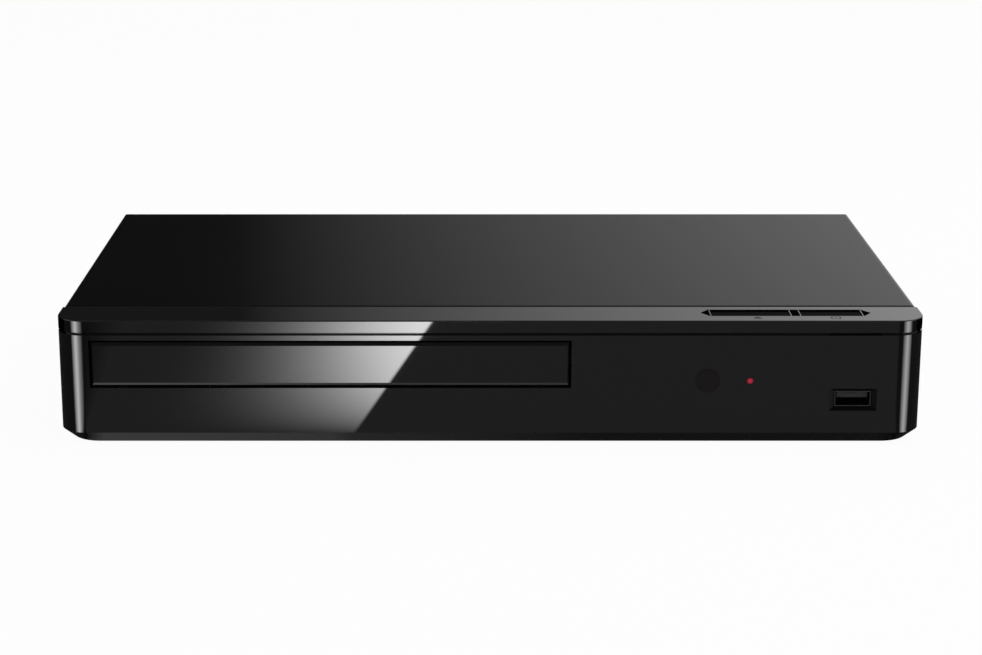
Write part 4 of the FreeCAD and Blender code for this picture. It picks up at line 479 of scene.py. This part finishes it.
def bright_field(finish, axes, dull, peak):
    """Brightness ahead of the player: a field that grows out of the dull card from left to right and
    away from the fascia, levels off, and ends in a slanting edge."""
    start_x, start_y = -0.152, -0.099
    edge_x, edge_slant, edge_soft = -0.0503, 0.168, 0.0015
    power, depth_rate, depth_start, level = 3.9, 11.5, -0.03, 20.5

    ahead = finish.maths("SUBTRACT", start_y, axes["Y"])
    edge = finish.maths("ADD", finish.maths("MULTIPLY", ahead, edge_slant), edge_x)
    across = finish.maths("DIVIDE", finish.maths("SUBTRACT", axes["X"], start_x),
                          finish.maths("SUBTRACT", edge, start_x))
    rise = finish.maths("POWER", finish.maths("MAXIMUM", across, 0.0), power)
    depth = finish.maths("ADD", finish.maths("MULTIPLY", ahead, depth_rate), depth_start)
    inside = finish.rises(finish.maths("SUBTRACT", edge, axes["X"]), 0.0, edge_soft)
    bright = finish.maths("MULTIPLY", rise, finish.maths("MAXIMUM", depth, 0.0), inside, peak)
    over = finish.maths("MULTIPLY", bright, 1.0 / level)
    return finish.maths("ADD", finish.maths("DIVIDE", bright, finish.length(over, 1.0)), dull)


def near_strips(finish, axes, outwards, field):
    """The card close to the fascia: a strip that is brighter at the left, and a second one next to the
    bevel whose brightness falls in three steps to the right and fades out at both corners."""
    strip_edge, close_edge, corner = (-0.1015, -0.1005), (-0.0957, -0.0953), (0.141, 0.148)
    strip = finish.between(axes["X"], 1.25, 0.62, -0.14, -0.04)
    close = finish.maths("MULTIPLY",
                         finish.between(axes["X"], 0.86, 0.64, -0.145, -0.06),
                         finish.between(axes["X"], 1.0, 0.56, -0.058, -0.05),
                         finish.between(axes["X"], 1.0, 0.2, -0.05, 0.04),
                         finish.falls(outwards, *corner))
    field = finish.mixed(finish.rises(axes["Y"], *strip_edge), field, strip, "FLOAT")
    return finish.mixed(finish.rises(axes["Y"], *close_edge), field, close, "FLOAT")


def corner_wedges(finish, axes, outwards, field, side, wedge):
    """A soft bright wedge outwards from each front corner, in the dark beside the player. The left one
    is turned further forward, and the right one is weaker."""
    corner_x, corner_y, left_turn, right_share = 0.149, -0.089, math.radians(12), 0.74
    middle, inner, outer, beyond, clear = (-0.01, 0.01), (29, 48), (52, 71), (15, 20), (0.008, 0.014)

    aside = finish.maths("SUBTRACT", outwards, corner_x)
    forward = finish.maths("SUBTRACT", corner_y, axes["Y"])
    angle = finish.maths("ADD", finish.maths("ARCTAN2", aside, forward),
                         finish.between(axes["X"], left_turn, 0.0, *middle))
    glow = finish.maths("MULTIPLY",
                        finish.rises(angle, *map(math.radians, inner)),
                        finish.falls(angle, *map(math.radians, outer)),
                        finish.rises(finish.length(aside, forward), *clear),
                        finish.between(axes["X"], wedge, wedge * right_share, *middle))
    beside = finish.rises(angle, *map(math.radians, beyond))
    return finish.mixed(beside, field, finish.maths("ADD", glow, side), "FLOAT")


def front_card(name, settings):
    """A card that lies round the fascia: a bright field ahead, strips close to it, and corner wedges."""
    finish = Finish(name)
    axes = finish.axes()
    outwards = finish.maths("ABSOLUTE", axes["X"])
    field = bright_field(finish, axes, settings.dull, settings.peak)
    field = near_strips(finish, axes, outwards, field)
    return one_sided(finish, corner_wedges(finish, axes, outwards, field, settings.side, settings.wedge))


def plain_card(name, strength):
    """A card of one even brightness, apart from faint clouds."""
    finish = Finish(name)
    return one_sided(finish, finish.between(finish.noise(400.0), strength * 0.97, strength * 1.03))


def graded_card(name, dark, pale, left, right):
    """A card that goes from dark at one place along X to pale at another."""
    finish = Finish(name)
    return one_sided(finish, finish.between(finish.axes()["X"], dark, pale, left, right))


def studio_light(scene, settings):
    """Even light from all round, which looks white itself, and three soft boxes."""
    world = bpy.data.worlds.new("studio")
    scene.world = world
    world.use_nodes = True
    tree = world.node_tree
    tree.nodes.clear()
    soft = add(tree, "ShaderNodeBackground", {"Color": WHITE, "Strength": settings.sky})
    white = add(tree, "ShaderNodeBackground", {"Color": WHITE, "Strength": 1.0})
    both = add(tree, "ShaderNodeMixShader", {
        0: background_rays(tree), 1: soft.outputs[0], 2: white.outputs[0]})
    add(tree, "ShaderNodeOutputWorld", {"Surface": both.outputs[0]})

    area_light("soft_box_top", place=(0.75, -0.1, 1.3), size=(1.4, 1.0), target=(0, 0, 0),
               power=settings.key_power)
    for name, x in (("soft_box_left", -1.2), ("soft_box_right", 1.2)):
        area_light(name, place=(x, -0.7, 0.8), size=(0.8, 0.8), target=(0, 0, 0.02),
                   power=settings.side_power)


def reflection_cards(settings):
    """What the gloss shows: a card round the fascia's foot, a dark one over its top edge, a dull one far
    ahead, and one behind that is dark at the left."""
    for card in (
            level_sheet("front_card", x=(-0.75, 0.75), y=(-0.5, 0.3), z=0.0004,
                        material=front_card("front_card", settings)),
            level_sheet("edge_flag", x=(0.25, -0.25), y=(-0.27, -0.087), z=0.12,
                        material=plain_card("edge_flag", strength=0.04)),
            upright_sheet("front_flag", x=(1.6, -1.6), y=-1.3, z=(0.0, 2.0),
                          material=plain_card("front_flag", strength=settings.dull)),
            upright_sheet("back_card", x=(-2.5, 2.5), y=0.42, z=(0.0, 1.6),
                          material=graded_card("back_card", dark=0.02, pale=0.98, left=-0.14, right=0.30))):
        only_in_reflections(card)


def picture_camera(scene, settings):
    """The camera at the photograph's viewing angle."""
    camera = bpy.data.cameras.new("camera")
    camera.sensor_width = SENSOR
    camera.lens = settings.focal
    camera.shift_x = settings.shift
    camera.clip_start = 0.01
    camera.clip_end = 50.0
    stand = bpy.data.objects.new("camera", camera)
    stand.location = settings.camera_place
    stand.rotation_euler = (math.pi / 2 - settings.pitch, 0.0, 0.0)
    scene.collection.objects.link(stand)
    scene.camera = stand


class StageSettings(bpy.types.PropertyGroup):
    """Camera, lamps, cards and floor."""
    focal: bpy.props.FloatProperty(
        name="Focal length", description="Length of the lens in mm on a 36 mm sensor", default=84.366,
        min=10.0, unit="CAMERA")
    pitch: bpy.props.FloatProperty(
        name="Pitch", description="How far the camera looks down", default=math.radians(15.277),
        subtype="ANGLE")
    camera_place: bpy.props.FloatVectorProperty(
        name="Camera place", description="Where the camera stands", default=(-0.00945, -0.8863, 0.2622),
        subtype="TRANSLATION")
    shift: bpy.props.FloatProperty(
        name="Shift", description="Sideways shift of the picture", default=0.0273, subtype="FACTOR")
    sky: bpy.props.FloatProperty(
        name="Sky", description="Strength of the even light from all round", default=0.45, min=0.0,
        subtype="FACTOR")
    key_power: bpy.props.FloatProperty(
        name="Main lamp", description="Power of the soft box overhead", default=9.0, min=0.0, unit="POWER")
    side_power: bpy.props.FloatProperty(
        name="Side lamps", description="Power of each soft box at a side", default=2.0, min=0.0, unit="POWER")
    floor_white: bpy.props.FloatProperty(
        name="Floor white", description="Share of the floor that is plain white", default=0.96, min=0.0,
        max=1.0, subtype="FACTOR")
    dull: bpy.props.FloatProperty(
        name="Front card", description="Brightness of the cards ahead of the player", default=0.22,
        min=0.0, subtype="FACTOR")
    peak: bpy.props.FloatProperty(
        name="Bright field", description="Brightness of the field that the fascia's gloss shows",
        default=18.6, min=0.0)
    side: bpy.props.FloatProperty(
        name="Side dark", description="Brightness of the card beside the player", default=0.03, min=0.0,
        subtype="FACTOR")
    wedge: bpy.props.FloatProperty(
        name="Corner light", description="Brightness of the wedge in each front corner's gloss",
        default=9.9, min=0.0)


class PLAYER_OT_stage(bpy.types.Operator):
    """Floor, lamps, reflection cards and the camera"""
    bl_idname = "player.stage"
    bl_label = "Stage"

    def execute(self, context):
        settings = context.scene.player_stage
        scene = context.scene
        scene.view_settings.view_transform = "Standard"
        level_sheet("floor", (-6.0, 6.0), (-6.0, 6.0), 0.0,
                             pale_floor("pale_floor", settings.floor_white))
        studio_light(scene, settings)
        reflection_cards(settings)
        picture_camera(scene, settings)
        return {"FINISHED"}


# The casing

def from_middle(finish, axes, middle):
    """How far a place lies to either side of a mark's middle, and how far behind it."""
    side = finish.maths("ABSOLUTE", finish.maths("SUBTRACT", axes["X"], middle[0]))
    return side, finish.maths("SUBTRACT", axes["Y"], middle[1])


def eject_mark(finish, axes, middle, half):
    """A generic eject mark: a triangle that points away from the reader over a bar."""
    tip, foot, bar_side, bar_front, bar_back = (half * share for share in (0.75, -0.22, 0.78, -0.72, -0.42))
    side, up = from_middle(finish, axes, middle)
    slope = finish.maths("SUBTRACT", tip, side)
    triangle = finish.maths("MULTIPLY", finish.above(slope, 0.0), finish.above(up, foot),
                            finish.above(finish.maths("SUBTRACT", slope, up), 0.0))
    bar = finish.maths("MULTIPLY", finish.below(side, bar_side), finish.within(up, bar_front, bar_back))
    return finish.maths("MAXIMUM", triangle, bar)


def power_mark(finish, axes, middle, radius):
    """The generic power mark: an open ring with a bar in its gap."""
    line, gap_side, bar_front, bar_back = (radius * share for share in (0.16, 0.4, 0.1, 1.1))
    side, up = from_middle(finish, axes, middle)
    ring = finish.within(finish.length(side, up), radius - line, radius + line)
    gap = finish.maths("MULTIPLY", finish.below(side, gap_side), finish.above(up, 0.0))
    ring = finish.maths("MULTIPLY", ring, finish.maths("SUBTRACT", 1.0, gap))
    bar = finish.maths("MULTIPLY", finish.below(side, line), finish.within(up, bar_front, bar_back))
    return finish.maths("MAXIMUM", ring, bar)


def fascia_face(name, colour, roughness):
    """The fascia's polish, with a matt skin and painted shade on the slopes inside the front socket's mouth.
    """
    half_width, front, floor = (0.0092, 0.0094), (-0.0899, -0.0897), (0.0085, 0.0087)
    finish = Finish(name)
    axes = finish.axes()
    cloud = finish.noise(40.0, 3.0)
    side = finish.maths("ABSOLUTE", finish.maths("SUBTRACT", axes["X"], USB_X * MM))
    # The socket mouth's mask: the rougher skin there is real; the deeper black and weaker gloss are painted
    # shade.
    matt = finish.maths("MULTIPLY", finish.falls(side, *half_width), finish.rises(axes["Y"], *front),
                        finish.rises(axes["Z"], *floor))
    polish = finish.mixed(cloud, colour, toned(colour, 1.15))
    return finish.done(
        # Painted shade: the mouth's slopes take a deeper black, and below, a weaker gloss.
        colour=finish.mixed(matt, polish, toned(DEEP_BLACK, 2.0)),
        roughness=finish.maths("ADD", wiped(finish, cloud, roughness), finish.maths("MULTIPLY", matt, 0.4)),
        specular=finish.between(matt, 0.5, 0.1, 0.0, 1.0))


def top_strip(name, colour, roughness, settings):
    """The trim's plastic, with painted shade in the key recess (a deeper black and no gloss) and the two
    printed marks before it.
    """
    recess_front, recess_top, strip_top = -0.0875, (0.0003, 0.0002), 0.0001
    finish = Finish(name)
    axes = finish.axes()
    cloud = finish.noise(40.0, 3.0)
    # The key recess's mask, for painted shade: a deeper black and no gloss there.
    low = finish.falls(axes["Z"], *(settings.top - depth for depth in recess_top))
    recess_painted_shade = finish.maths("MULTIPLY", low, finish.above(axes["Y"], recess_front))
    eject = eject_mark(finish, axes, (settings.eject_x, settings.mark_y), settings.mark_size / 2)
    power = power_mark(finish, axes, (settings.power_x, settings.mark_y), settings.mark_size * 0.42)
    marks = finish.maths("MULTIPLY", finish.maths("MAXIMUM", eject, power),
                         finish.above(axes["Z"], settings.top - strip_top))
    # Painted shade: the key recess in a deeper black; below, its gloss is taken away.
    plain = finish.mixed(recess_painted_shade, colour, DEEP_BLACK)
    return finish.done(
        colour=finish.mixed(marks, plain, tuple(settings.mark_colour)),
        roughness=finish.maths("ADD", wiped(finish, cloud, roughness), finish.maths("MULTIPLY", marks, 0.3)),
        specular=finish.maths("MULTIPLY", finish.between(recess_painted_shade, 0.5, 0.0, 0.0, 1.0),
                              finish.between(marks, 1.0, 0.04, 0.0, 1.0)))


class CasingSettings(bpy.types.PropertyGroup):
    """Colours, printed marks and red light of the casing."""
    cover_colour: bpy.props.FloatVectorProperty(
        name="Cover", description="Colour of the cover's paint", default=(0.003, 0.003, 0.0031),
        subtype="COLOR", min=0.0, max=1.0)
    cover_roughness: bpy.props.FloatProperty(
        name="Cover roughness", description="How matt the cover's paint is", default=0.3, min=0.0, max=1.0,
        subtype="FACTOR")
    gloss_colour: bpy.props.FloatVectorProperty(
        name="Fascia", description="Colour of the polished fascia", default=(0.006, 0.006, 0.0065),
        subtype="COLOR", min=0.0, max=1.0)
    gloss_roughness: bpy.props.FloatProperty(
        name="Fascia roughness", description="How matt the polished fascia is", default=0.03, min=0.0,
        max=1.0, subtype="FACTOR")
    light_colour: bpy.props.FloatVectorProperty(
        name="Light", description="Colour of the small light's middle", default=(0.30, 0.012, 0.03),
        subtype="COLOR", min=0.0, max=1.0)
    light_rim: bpy.props.FloatVectorProperty(
        name="Light's rim", description="Colour of the small light's rim", default=(0.06, 0.001, 0.003),
        subtype="COLOR", min=0.0, max=1.0)
    mark_colour: bpy.props.FloatVectorProperty(
        name="Marks", description="Colour of the printed marks", default=(0.01, 0.01, 0.01),
        subtype="COLOR", min=0.0, max=1.0)
    mark_size: bpy.props.FloatProperty(
        name="Mark size", description="Width of the eject mark", default=0.0040, min=0.0, unit="LENGTH")
    mark_y: bpy.props.FloatProperty(
        name="Marks' line", description="How far forward the marks lie", default=-0.0858, unit="LENGTH")
    eject_x: bpy.props.FloatProperty(
        name="Eject mark", description="Where the eject mark lies", default=0.0963, unit="LENGTH")
    power_x: bpy.props.FloatProperty(
        name="Power mark", description="Where the power mark lies", default=0.1245, unit="LENGTH")
    top: bpy.props.FloatProperty(
        name="Top", description="Height of the strip that carries the marks", default=FRAME_BOX[1][2],
        unit="LENGTH")
    rib_width: bpy.props.FloatProperty(
        name="Rib", description="Thickness of the ribs in the gaps beside the keys", default=0.00036,
        min=0.0, unit="LENGTH")


class PLAYER_OT_cover(bpy.types.Operator):
    """Paint of the cover, rear panel and screws, plating of the chassis, and rubber of the feet"""
    bl_idname = "player.cover"
    bl_label = "Cover, chassis and feet"

    def execute(self, context):
        settings = context.scene.player_casing
        painted("cover_paint", tuple(settings.cover_colour), settings.cover_roughness, specular=0.1)
        painted("panel_paint", (0.012, 0.012, 0.013), 0.42)
        painted("black_screw", (0.04, 0.04, 0.042), 0.35)
        plated("bare_steel", (0.55, 0.56, 0.57), 0.32, spangle=9.0)
        plated("zinc_screw", (0.6, 0.6, 0.58), 0.25)
        rubbery("foot_rubber", (0.03, 0.03, 0.03))
        return {"FINISHED"}


class PLAYER_OT_fascia(bpy.types.Operator):
    """Gloss of the fascia, door, strip, keys and window, the printed marks, the painted shade in the key
    recess and the front socket's mouth, and the small red light
    """
    bl_idname = "player.fascia"
    bl_label = "Fascia"

    def execute(self, context):
        settings = context.scene.player_casing
        gloss = tuple(settings.gloss_colour)
        fascia_face("fascia_gloss", gloss, settings.gloss_roughness)
        polished("door_gloss", gloss, settings.gloss_roughness)
        top_strip("trim_gloss", gloss, settings.gloss_roughness, settings)
        polished("key_gloss", DEEP_BLACK, 0.1, specular=0.001)
        polished("window_plastic", (0.003, 0.001, 0.0015), 0.02, specular=0.47)
        place = (0.0938, 0.0247)
        pilot("light_pipe", place, radius=0.0011, core=tuple(settings.light_colour),
              rim=tuple(settings.light_rim), strength=1.0)
        pilot("light_lens", place, radius=0.003, core=(0.9, 0.1, 0.1), rim=(0.3, 0.01, 0.02), strength=0.5)
        return {"FINISHED"}


class PLAYER_OT_key_ribs(bpy.types.Operator):
    """Thin ribs in the gaps at both ends of each key"""
    bl_idname = "player.key_ribs"
    bl_label = "Key ribs"

    def execute(self, context):
        settings = context.scene.player_casing
        plain = polished("rib_plastic", (0.02, 0.02, 0.021), 0.05)
        size = (settings.rib_width / MM, 8.2, 0.7)
        y, z = -78.9, settings.top / MM - 0.45
        for name, left, right in (("key_ribs_left", 79.8, 108.9), ("key_ribs_right", 112.3, 134.9)):
            in_rows(name, plain, size, start=(left, y, z), count=2, step=(right - left, 0, 0))
        return {"FINISHED"}


# Sockets

class SocketSettings(bpy.types.PropertyGroup):
    """Contacts of the sockets."""
    contact_colour: bpy.props.FloatVectorProperty(
        name="Contacts", description="Colour of the plated contacts", default=(0.9, 0.66, 0.25),
        subtype="COLOR", min=0.0, max=1.0)
    usb_width: bpy.props.FloatProperty(
        name="USB contact", description="Width of one contact in the front socket", default=0.0012, min=0.0,
        unit="LENGTH")
    network_width: bpy.props.FloatProperty(
        name="Network contact", description="Thickness of one spring in the network socket", default=0.0004,
        min=0.0, unit="LENGTH")
    video_width: bpy.props.FloatProperty(
        name="Video contact", description="Width of one contact in the video socket", default=0.0004,
        min=0.0, unit="LENGTH")


class PLAYER_OT_sockets(bpy.types.Operator):
    """Plating of the sockets, and their contacts"""
    bl_idname = "player.sockets"
    bl_label = "Sockets"

    def execute(self, context):
        settings = context.scene.player_sockets
        plated("socket_metal", (0.14, 0.14, 0.145), 0.24)
        plated("pin_metal", (0.75, 0.75, 0.76), 0.16)
        moulded("black_plastic", (0.03, 0.03, 0.032), 0.5)
        gold = plated("contact_gold", tuple(settings.contact_colour), 0.2, along=(1.0, 0.05, 1.0))
        network_x, video_x, video_z, tongue_top = 73.3, 51.3, 14.7, 17.6
        usb_pitch, network_pitch, video_pitch, video_gap = 7.0 / 3, 1.02, 1.0, 1.24
        in_rows("usb_contacts", gold, size=(settings.usb_width / MM, 8.0, 0.16),
                start=(first_of(USB_X, 4, usb_pitch), -82.0, tongue_top + 0.05),
                count=4, step=(usb_pitch, 0, 0))
        in_rows("network_contacts", gold, size=(settings.network_width / MM, 9.0, 0.4),
                start=(first_of(network_x, 8, network_pitch), 82.6, 22.2),
                count=8, step=(network_pitch, 0, 0))
        in_rows("video_contacts", gold, size=(settings.video_width / MM, 8.4, 0.12),
                start=(first_of(video_x, 10, video_pitch), 82.4, first_of(video_z, 2, video_gap)),
                count=10, step=(video_pitch, 0, 0), rows=2, row_step=(0, 0, video_gap))
        return {"FINISHED"}


# Boards

class BoardSettings(bpy.types.PropertyGroup):
    """Boards and what is soldered on them."""
    main_colour: bpy.props.FloatVectorProperty(
        name="Main board", description="Colour of the main board's lacquer", default=(0.03, 0.16, 0.07),
        subtype="COLOR", min=0.0, max=1.0)
    power_colour: bpy.props.FloatVectorProperty(
        name="Other boards", description="Colour of the power, loader and front boards",
        default=(0.42, 0.28, 0.13), subtype="COLOR", min=0.0, max=1.0)
    chip_part: bpy.props.FloatProperty(
        name="Small parts", description="Length of the small soldered parts", default=0.0016, min=0.0,
        unit="LENGTH")
    turns: bpy.props.IntProperty(
        name="Turns", description="Turns of wire on the filter coil", default=26, min=3)
    wire: bpy.props.FloatProperty(
        name="Wire", description="Radius of the filter coil's wire", default=0.00042, min=0.0, unit="LENGTH")


class PLAYER_OT_boards(bpy.types.Operator):
    """Lacquer of the boards, their chips and cans, and the flat cables and wires"""
    bl_idname = "player.boards"
    bl_label = "Boards and cables"

    def execute(self, context):
        settings = context.scene.player_boards
        printed_board("board_green", tuple(settings.main_colour), copper=(0.8, 0.62, 0.3))
        printed_board("board_brown", tuple(settings.power_colour), copper=(0.7, 0.7, 0.68))
        moulded("chip_plastic", (0.03, 0.03, 0.03), 0.55, grain=0.2)
        moulded("connector_plastic", (0.83, 0.8, 0.72), 0.45, grain=0.6, height=0.01)
        plated("sink_aluminium", (0.7, 0.71, 0.72), 0.35, along=(1.0, 0.05, 1.0))
        polished("capacitor_sleeve", (0.03, 0.03, 0.05), 0.25)
        banded("transformer_tape", (0.7, 0.6, 0.15), band=(0.55, 0.45, 0.1), pitch=2.0, roughness=0.35)
        moulded("coil_ferrite", (0.08, 0.075, 0.07), 0.5)
        banded("ribbon_white", (0.85, 0.85, 0.83), band=(0.68, 0.68, 0.67), pitch=1.0, roughness=0.4)
        polished("wire_plastic", (0.6, 0.05, 0.03), 0.35)
        return {"FINISHED"}


class PLAYER_OT_solder(bpy.types.Operator):
    """Legs of the memory chips, small soldered parts, and the joints under the power board"""
    bl_idname = "player.solder"
    bl_label = "Soldered parts"

    def execute(self, context):
        settings = context.scene.player_boards
        long = settings.chip_part / MM
        tin = plated("solder_tin", (0.72, 0.72, 0.7), 0.3)
        ceramic = moulded("ceramic_brown", (0.36, 0.26, 0.17), 0.4, grain=0.2)
        board_top, board_left = 11.6, 31.3
        in_rows("memory_legs", tin, size=(0.35, 0.7, 0.25),
                start=(board_left + 8.9, 26.15, board_top + 0.2), count=10, step=(1.02, 0, 0),
                rows=2, row_step=(0, 8.7, 0), sets=3, set_step=(16.0, 0, 0))
        in_rows("small_parts", ceramic, size=(long, long / 2, 0.5),
                start=(board_left + 9.0, -40.0, board_top + 0.25), count=6, step=(4.4, 0, 0),
                rows=5, row_step=(0, 4.0, 0))
        in_rows("small_caps", ceramic, size=(long / 2, long, 0.7),
                start=(board_left + 9.0, 52.0, board_top + 0.35), count=12, step=(4.2, 0, 0),
                rows=2, row_step=(0, 5.0, 0))
        in_rows("solder_joints", tin, size=(1.8, 1.8, 0.7), start=(112.0, -28.0, 9.8),
                count=8, step=(4.9, 0, 0), rows=16, row_step=(0, 6.2, 0), peg=True)
        return {"FINISHED"}


class PLAYER_OT_winding(bpy.types.Operator):
    """Enamelled wire wound round the mains filter's ring"""
    bl_idname = "player.winding"
    bl_label = "Filter winding"

    def execute(self, context):
        settings = context.scene.player_boards
        copper = plated("enamelled_wire", (0.55, 0.2, 0.06), 0.25, along=(1.0, 1.0, 0.1))
        core_wall, core_width, around = 0.0050, 0.0080, 2 * settings.wire
        grown("filter_winding", winding_tree(), {
            "Turns": settings.turns, "Middle radius": 0.0065, "Width": core_wall + around,
            "Height": core_width + around, "Wire": settings.wire, "Centre": (0.138, 0.049, 0.0226),
            "Material": copper}, smooth=True)
        return {"FINISHED"}


# Loader

class PLAYER_OT_loader(bpy.types.Operator):
    """Plastics, rubber and metals of the tray, gears, deck and pickup"""
    bl_idname = "player.loader"
    bl_label = "Loader and deck"

    def execute(self, context):
        moulded("tray_plastic", (0.035, 0.035, 0.037), 0.45, grain=0.4)
        moulded("loader_plastic", (0.05, 0.05, 0.052), 0.5, grain=0.5)
        moulded("gear_plastic", (0.8, 0.79, 0.74), 0.4, grain=0.6, height=0.01)
        moulded("pickup_plastic", (0.06, 0.06, 0.06), 0.45, grain=0.3)
        plated("deck_steel", (0.6, 0.61, 0.6), 0.3, spangle=7.0)
        plated("motor_steel", (0.62, 0.62, 0.62), 0.28, along=(1.0, 1.0, 0.06))
        plated("rod_steel", (0.75, 0.75, 0.76), 0.14, along=(1.0, 0.03, 1.0))
        rubbery("belt_rubber", (0.025, 0.025, 0.025))
        rubbery("bush_rubber", (0.04, 0.04, 0.045))
        clear_lens("lens_glass", (0.6, 0.7, 0.85))
        return {"FINISHED"}


class PLAYER_PT_panel(bpy.types.Panel):
    """The settings, and the steps in the order they are run"""
    bl_idname = "PLAYER_PT_panel"
    bl_label = "Player"
    bl_space_type = "VIEW_3D"
    bl_region_type = "UI"
    bl_category = "Player"

    def draw(self, context):
        for name, group in GROUPS.items():
            box = self.layout.box()
            for setting in group.__annotations__:
                box.prop(getattr(context.scene, name), setting)
        for step in STEPS:
            self.layout.operator(step.bl_idname)


STEPS = (PLAYER_OT_stage, PLAYER_OT_cover, PLAYER_OT_fascia, PLAYER_OT_key_ribs, PLAYER_OT_sockets,
         PLAYER_OT_boards, PLAYER_OT_solder, PLAYER_OT_winding, PLAYER_OT_loader)
GROUPS = {"player_stage": StageSettings, "player_casing": CasingSettings,
          "player_sockets": SocketSettings, "player_boards": BoardSettings}


def register():
    """Add the settings, the steps and the panel."""
    for name, group in GROUPS.items():
        bpy.utils.register_class(group)
        setattr(bpy.types.Scene, name, bpy.props.PointerProperty(type=group))
    for step in (*STEPS, PLAYER_PT_panel):
        bpy.utils.register_class(step)


def unregister():
    """Take them away again."""
    for step in reversed((*STEPS, PLAYER_PT_panel)):
        bpy.utils.unregister_class(step)
    for name, group in GROUPS.items():
        delattr(bpy.types.Scene, name)
        bpy.utils.unregister_class(group)


def main():
    """Run every step in order."""
    register()
    for step in STEPS:
        group, _, name = step.bl_idname.partition(".")
        getattr(getattr(bpy.ops, group), name)()


if __name__ == "__main__":
    main()
